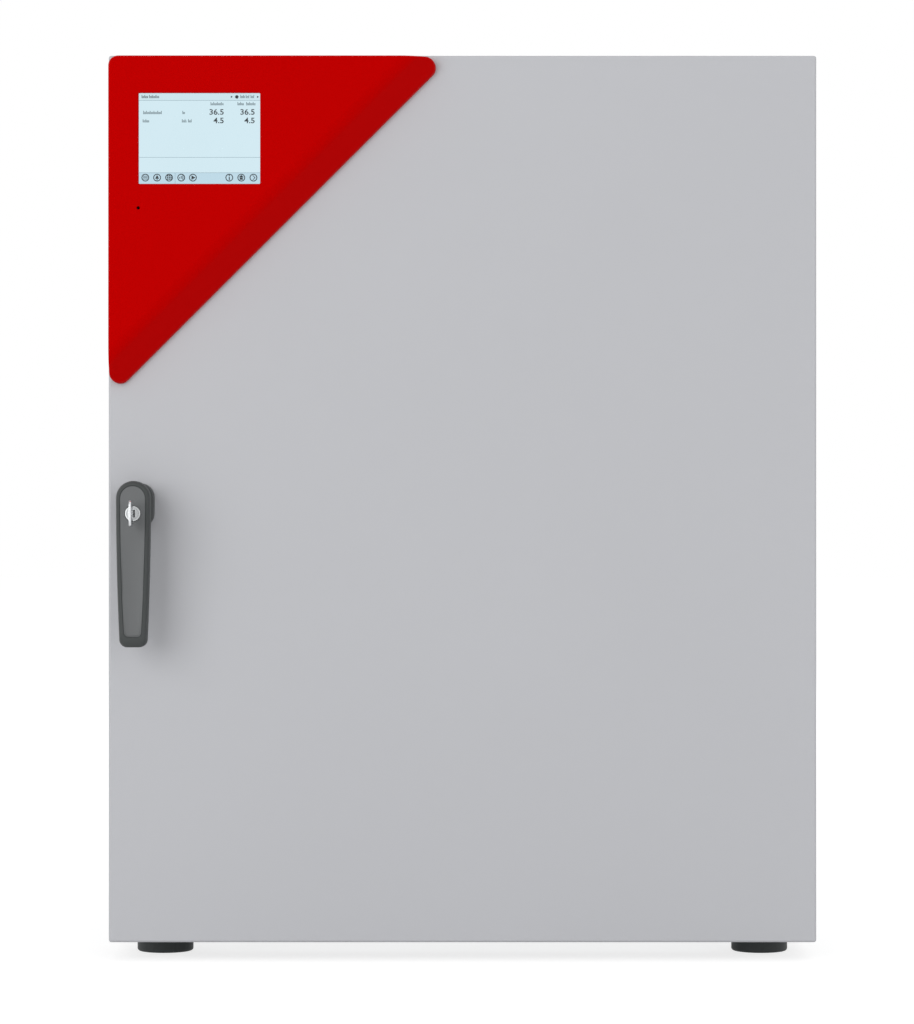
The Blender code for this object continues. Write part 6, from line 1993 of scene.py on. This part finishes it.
@dataclass
class RearServices:
    """Access port with its stopper, gas nozzle, mains inlet with its switch, and network socket."""

    shop: Workshop
    port_bore: float = 0.0155
    port_outer: float = 0.019
    port_flange: float = 0.023
    flange_depth: float = 0.003
    barbs: int = 3
    barb_pitch: float = 0.0055
    hose_bore: float = 0.002
    hose_bore_depth: float = 0.020
    stem_radius: float = 0.0038
    collar_height: float = 0.0078
    inlet_screw_radius: float = 0.0016
    inlet_screw_inset: float = 0.002
    mark_gap: float = 0.0034
    mark_half: float = 0.0013
    mark_outer: float = 0.0014
    mark_inner: float = 0.0008
    mark_print: float = 0.00006
    contacts: int = 8
    contact_pitch: float = 0.0012
    contact_half: float = 0.0003

    def build(self) -> None:
        """Make every service on the rear sheet."""
        self.port()
        self.nozzle()
        self.inlet()
        self.network()

    def port(self) -> None:
        """The flanged tube and its stopper with a grip ring."""
        box = span("access_port")
        centre = box.eye
        bore, outer, flange = self.port_bore, self.port_outer, self.port_flange
        near, far = box.low.y + self.flange_depth, box.high.y - self.flange_depth
        corners = [(bore, box.low.y), (flange, box.low.y), (flange, near), (outer, near), (outer, far),
                   (flange, far), (flange, box.high.y), (bore, box.high.y)]
        profile = rounded_outline(corners, [0.0006, 0.0012, 0.0003, 0, 0, 0.0003, 0.0012, 0.0006], 4)
        self.shop.hand_over("port_tube", turned(profile, centre, Axis.Y, closed=True), WHITE_SILICONE,
                            Body.CABINET, ("access_port",))
        plug = span("port_plug")
        seat, end = box.high.y + SEAT_GAP, plug.high.y
        corners = [(0.0, plug.low.y), (bore - 0.0018, plug.low.y), (bore - SEAT_GAP, seat - 0.002),
                   (bore - SEAT_GAP, seat), (0.0205, seat), (0.021, seat + 0.0035), (0.0195, seat + 0.0045),
                   (0.021, seat + 0.0055), (0.0205, end), (0.006, end), (0.005, end - 0.0012), (0.0, end - 0.0012)]
        profile = rounded_outline(corners, [0, 0.0008, 0.0006, 0, 0.0006, 0.0006, 0.0005, 0.0006, 0.0016, 0.0004,
                                            0.0004, 0], 4, closed=False)
        self.shop.hand_over("port_stopper", turned(profile, centre, Axis.Y), RUBBER, Body.STOPPER, ("port_plug",))

    def nozzle(self) -> None:
        """The barbed hose nozzle with a hexagon collar."""
        box, sheet = span("gas_nozzle"), span("rear_panel")
        centre = box.eye
        face, tip = sheet.high.y + SEAT_GAP, box.high.y
        floor, bore, stem_end, thread_radius = tip - self.hose_bore_depth, self.hose_bore, face + 0.0075, 0.005
        profile = [(0.0, floor), (bore, floor), (bore, tip), (0.0034, tip)]
        for number in range(self.barbs):
            start = tip - 0.001 - number * self.barb_pitch
            profile += [(thread_radius, start - 0.0045), (self.stem_radius, start - 0.0050)]
        profile += [(self.stem_radius, stem_end), (0.0, stem_end)]
        stem = turned(profile, centre, Axis.Y, SMALL_TURN_STEPS)
        thread = prism(circle(centre, thread_radius), Axis.Y, box.low.y, face + 0.001)
        collar = ease(prism(circle(centre, box.size.x / 2, 6), Axis.Y, face, face + self.collar_height), 0.0006, 2)
        self.shop.hand_over("hose_nozzle", joined(stem, thread, collar), BRASS, Body.CABINET, ("gas_nozzle",))

    def inlet(self) -> None:
        """The mains inlet's flange, socket and pins, and the rocker with its plain marks."""
        box = span("mains_inlet")
        self.shop.refine("mains_inlet", DARK_PLASTIC, Body.CABINET, 0.0004)
        self.shop.refine("mains_rocker", DARK_PLASTIC, Body.SWITCH, 0.0005)
        screws = [Vector((side, box.high.y, box.centre.z))
                  for side in (box.low.x + self.inlet_screw_inset, box.high.x - self.inlet_screw_inset)]
        self.shop.screws("inlet_screws", screws, Axis.Y.way, self.inlet_screw_radius, PLATED_STEEL, Body.CABINET)
        rocker, face, half = span("mains_rocker"), box.high.y, (self.mark_outer - self.mark_inner) / 2
        above, below, crown = rocker.high.z + self.mark_gap, rocker.low.z - self.mark_gap, face + self.mark_print
        stroke = block((rocker.centre.x - half, face, above - self.mark_half),
                       (rocker.centre.x + half, crown, above + self.mark_half))
        rows = [(self.mark_outer, face), (self.mark_outer, crown), (self.mark_inner, crown), (self.mark_inner, face)]
        ring = turned(rows, (rocker.centre.x, below), Axis.Y, SMALL_TURN_STEPS, closed=True)
        self.shop.hand_over("switch_marks", joined(stroke, ring), MARK_WHITE, Body.CABINET)

    def network(self) -> None:
        """The shielded network socket with its contacts."""
        box = span("network_socket")
        self.shop.refine("network_socket", PLATED_STEEL, Body.CABINET, 0.0003)
        contacts, half = [], self.contact_half
        for number in range(self.contacts):
            x = box.centre.x + (number - (self.contacts - 1) / 2) * self.contact_pitch
            contacts.append(block((x - half, box.high.y - 0.010, box.centre.z + 0.0030),
                                  (x + half, box.high.y - 0.003, box.centre.z + 0.0040)))
        self.shop.hand_over("network_contacts", joined(*contacts), BRASS, Body.CABINET)


# Studio

@dataclass
class Studio:
    """Pale floor, soft light and the camera at the photograph's angle."""

    camera_place: tuple = (-0.0053, -3.8355, 0.4315)
    camera_lens: float = 128.1
    sensor: float = 36.0
    floor_size: float = 40.0
    ambient: float = 0.64
    floor_shade: float = 0.38
    floor_return: float = 0.72
    floor_glow: float = 0.76
    key_power: float = 81.0
    fill_power: float = 34.5
    rear_power: float = 46.0
    aim: tuple = (0.0, 0.0, 0.45)

    def build(self) -> None:
        """Set up the stage."""
        self.world()
        self.floor()
        self.lamp("key_light", (-2.7, -3.9, 1.6), 3.2, self.key_power)
        self.lamp("fill_light", (3.3, -3.0, 1.2), 3.0, self.fill_power)
        self.lamp("rear_light", (1.2, 4.2, 3.0), 3.0, self.rear_power)
        self.camera()
        bpy.context.scene.view_settings.view_transform = "Standard"

    @staticmethod
    def seen_directly(bench: Bench) -> Socket:
        """1 for rays from the camera, a mirror or through glass, and 0 for others."""
        path = bench.add("ShaderNodeLightPath")
        seen = bench.maths("MAXIMUM", path.outputs["Is Camera Ray"], path.outputs["Is Glossy Ray"])
        return bench.maths("MAXIMUM", seen, path.outputs["Is Transmission Ray"])

    def world(self) -> None:
        """White where it is seen, and plain soft light elsewhere."""
        world = bpy.data.worlds.new("studio")
        bpy.context.scene.world = world
        world.use_nodes = True
        bench = Bench(world.node_tree)
        world.node_tree.nodes.clear()
        strength = bench.spread(self.seen_directly(bench), self.ambient, 1.0)
        background = bench.add("ShaderNodeBackground", {"Color": WHITE, "Strength": strength})
        bench.add("ShaderNodeOutputWorld", {"Surface": background.outputs[0]})

    def floor(self) -> None:
        """A wide pale floor that keeps the object's shadow."""
        bm = bmesh.new()
        bmesh.ops.create_grid(bm, x_segments=1, y_segments=1, size=self.floor_size / 2)
        mesh = bpy.data.meshes.new("studio_floor")
        bm.to_mesh(mesh)
        bm.free()
        material, bench, shader = new_material("studio_floor", {"Roughness": 0.9, "Specular IOR Level": 0.0,
                                                                "Emission Color": WHITE})
        seen = self.seen_directly(bench)
        shades = [shaded(WHITE, share) for share in (self.floor_return, self.floor_shade)]
        bench.feed(shader, {"Base Color": bench.mixed(seen, *shades),
                            "Emission Strength": bench.maths("MULTIPLY", seen, self.floor_glow)})
        mesh.materials.append(material)
        item = linked("studio_floor", mesh)

    def lamp(self, name: str, place: Sequence[float], size: float, power: float) -> None:
        """A large square area lamp that points at the object's middle.

        Args:
            name: its name.
            place: where it hangs.
            size: the length of its side.
            power: its power in watts.
        """
        data = bpy.data.lights.new(name, "AREA")
        data.energy = power
        data.size = size
        item = linked(name, data)
        item.location = place
        item.rotation_euler = (Vector(self.aim) - Vector(place)).to_track_quat("-Z", "Y").to_euler()

    def camera(self) -> None:
        """The camera, square to the door as in the photograph."""
        data = bpy.data.cameras.new("camera")
        data.lens = self.camera_lens
        data.sensor_width = self.sensor
        data.clip_end = 100.0
        item = linked("camera", data)
        item.location = self.camera_place
        item.rotation_euler = (math.pi / 2, 0.0, 0.0)
        bpy.context.scene.camera = item


def main() -> None:
    """Build the studio and every sub-assembly in order."""
    logging.basicConfig(level=logging.INFO, format="%(name)s: %(message)s")
    Studio().build()
    shop = Workshop()
    for assembly in (CabinetShell(shop), Chamber(shop), GlassDoor(shop), RearServices(shop), OuterDoor(shop),
                     DoorHinges(shop), ControlPanel(shop), LeverHandle(shop)):
        assembly.build()
        LOG.info("%s built", type(assembly).__name__)


if __name__ == "__main__":
    main()
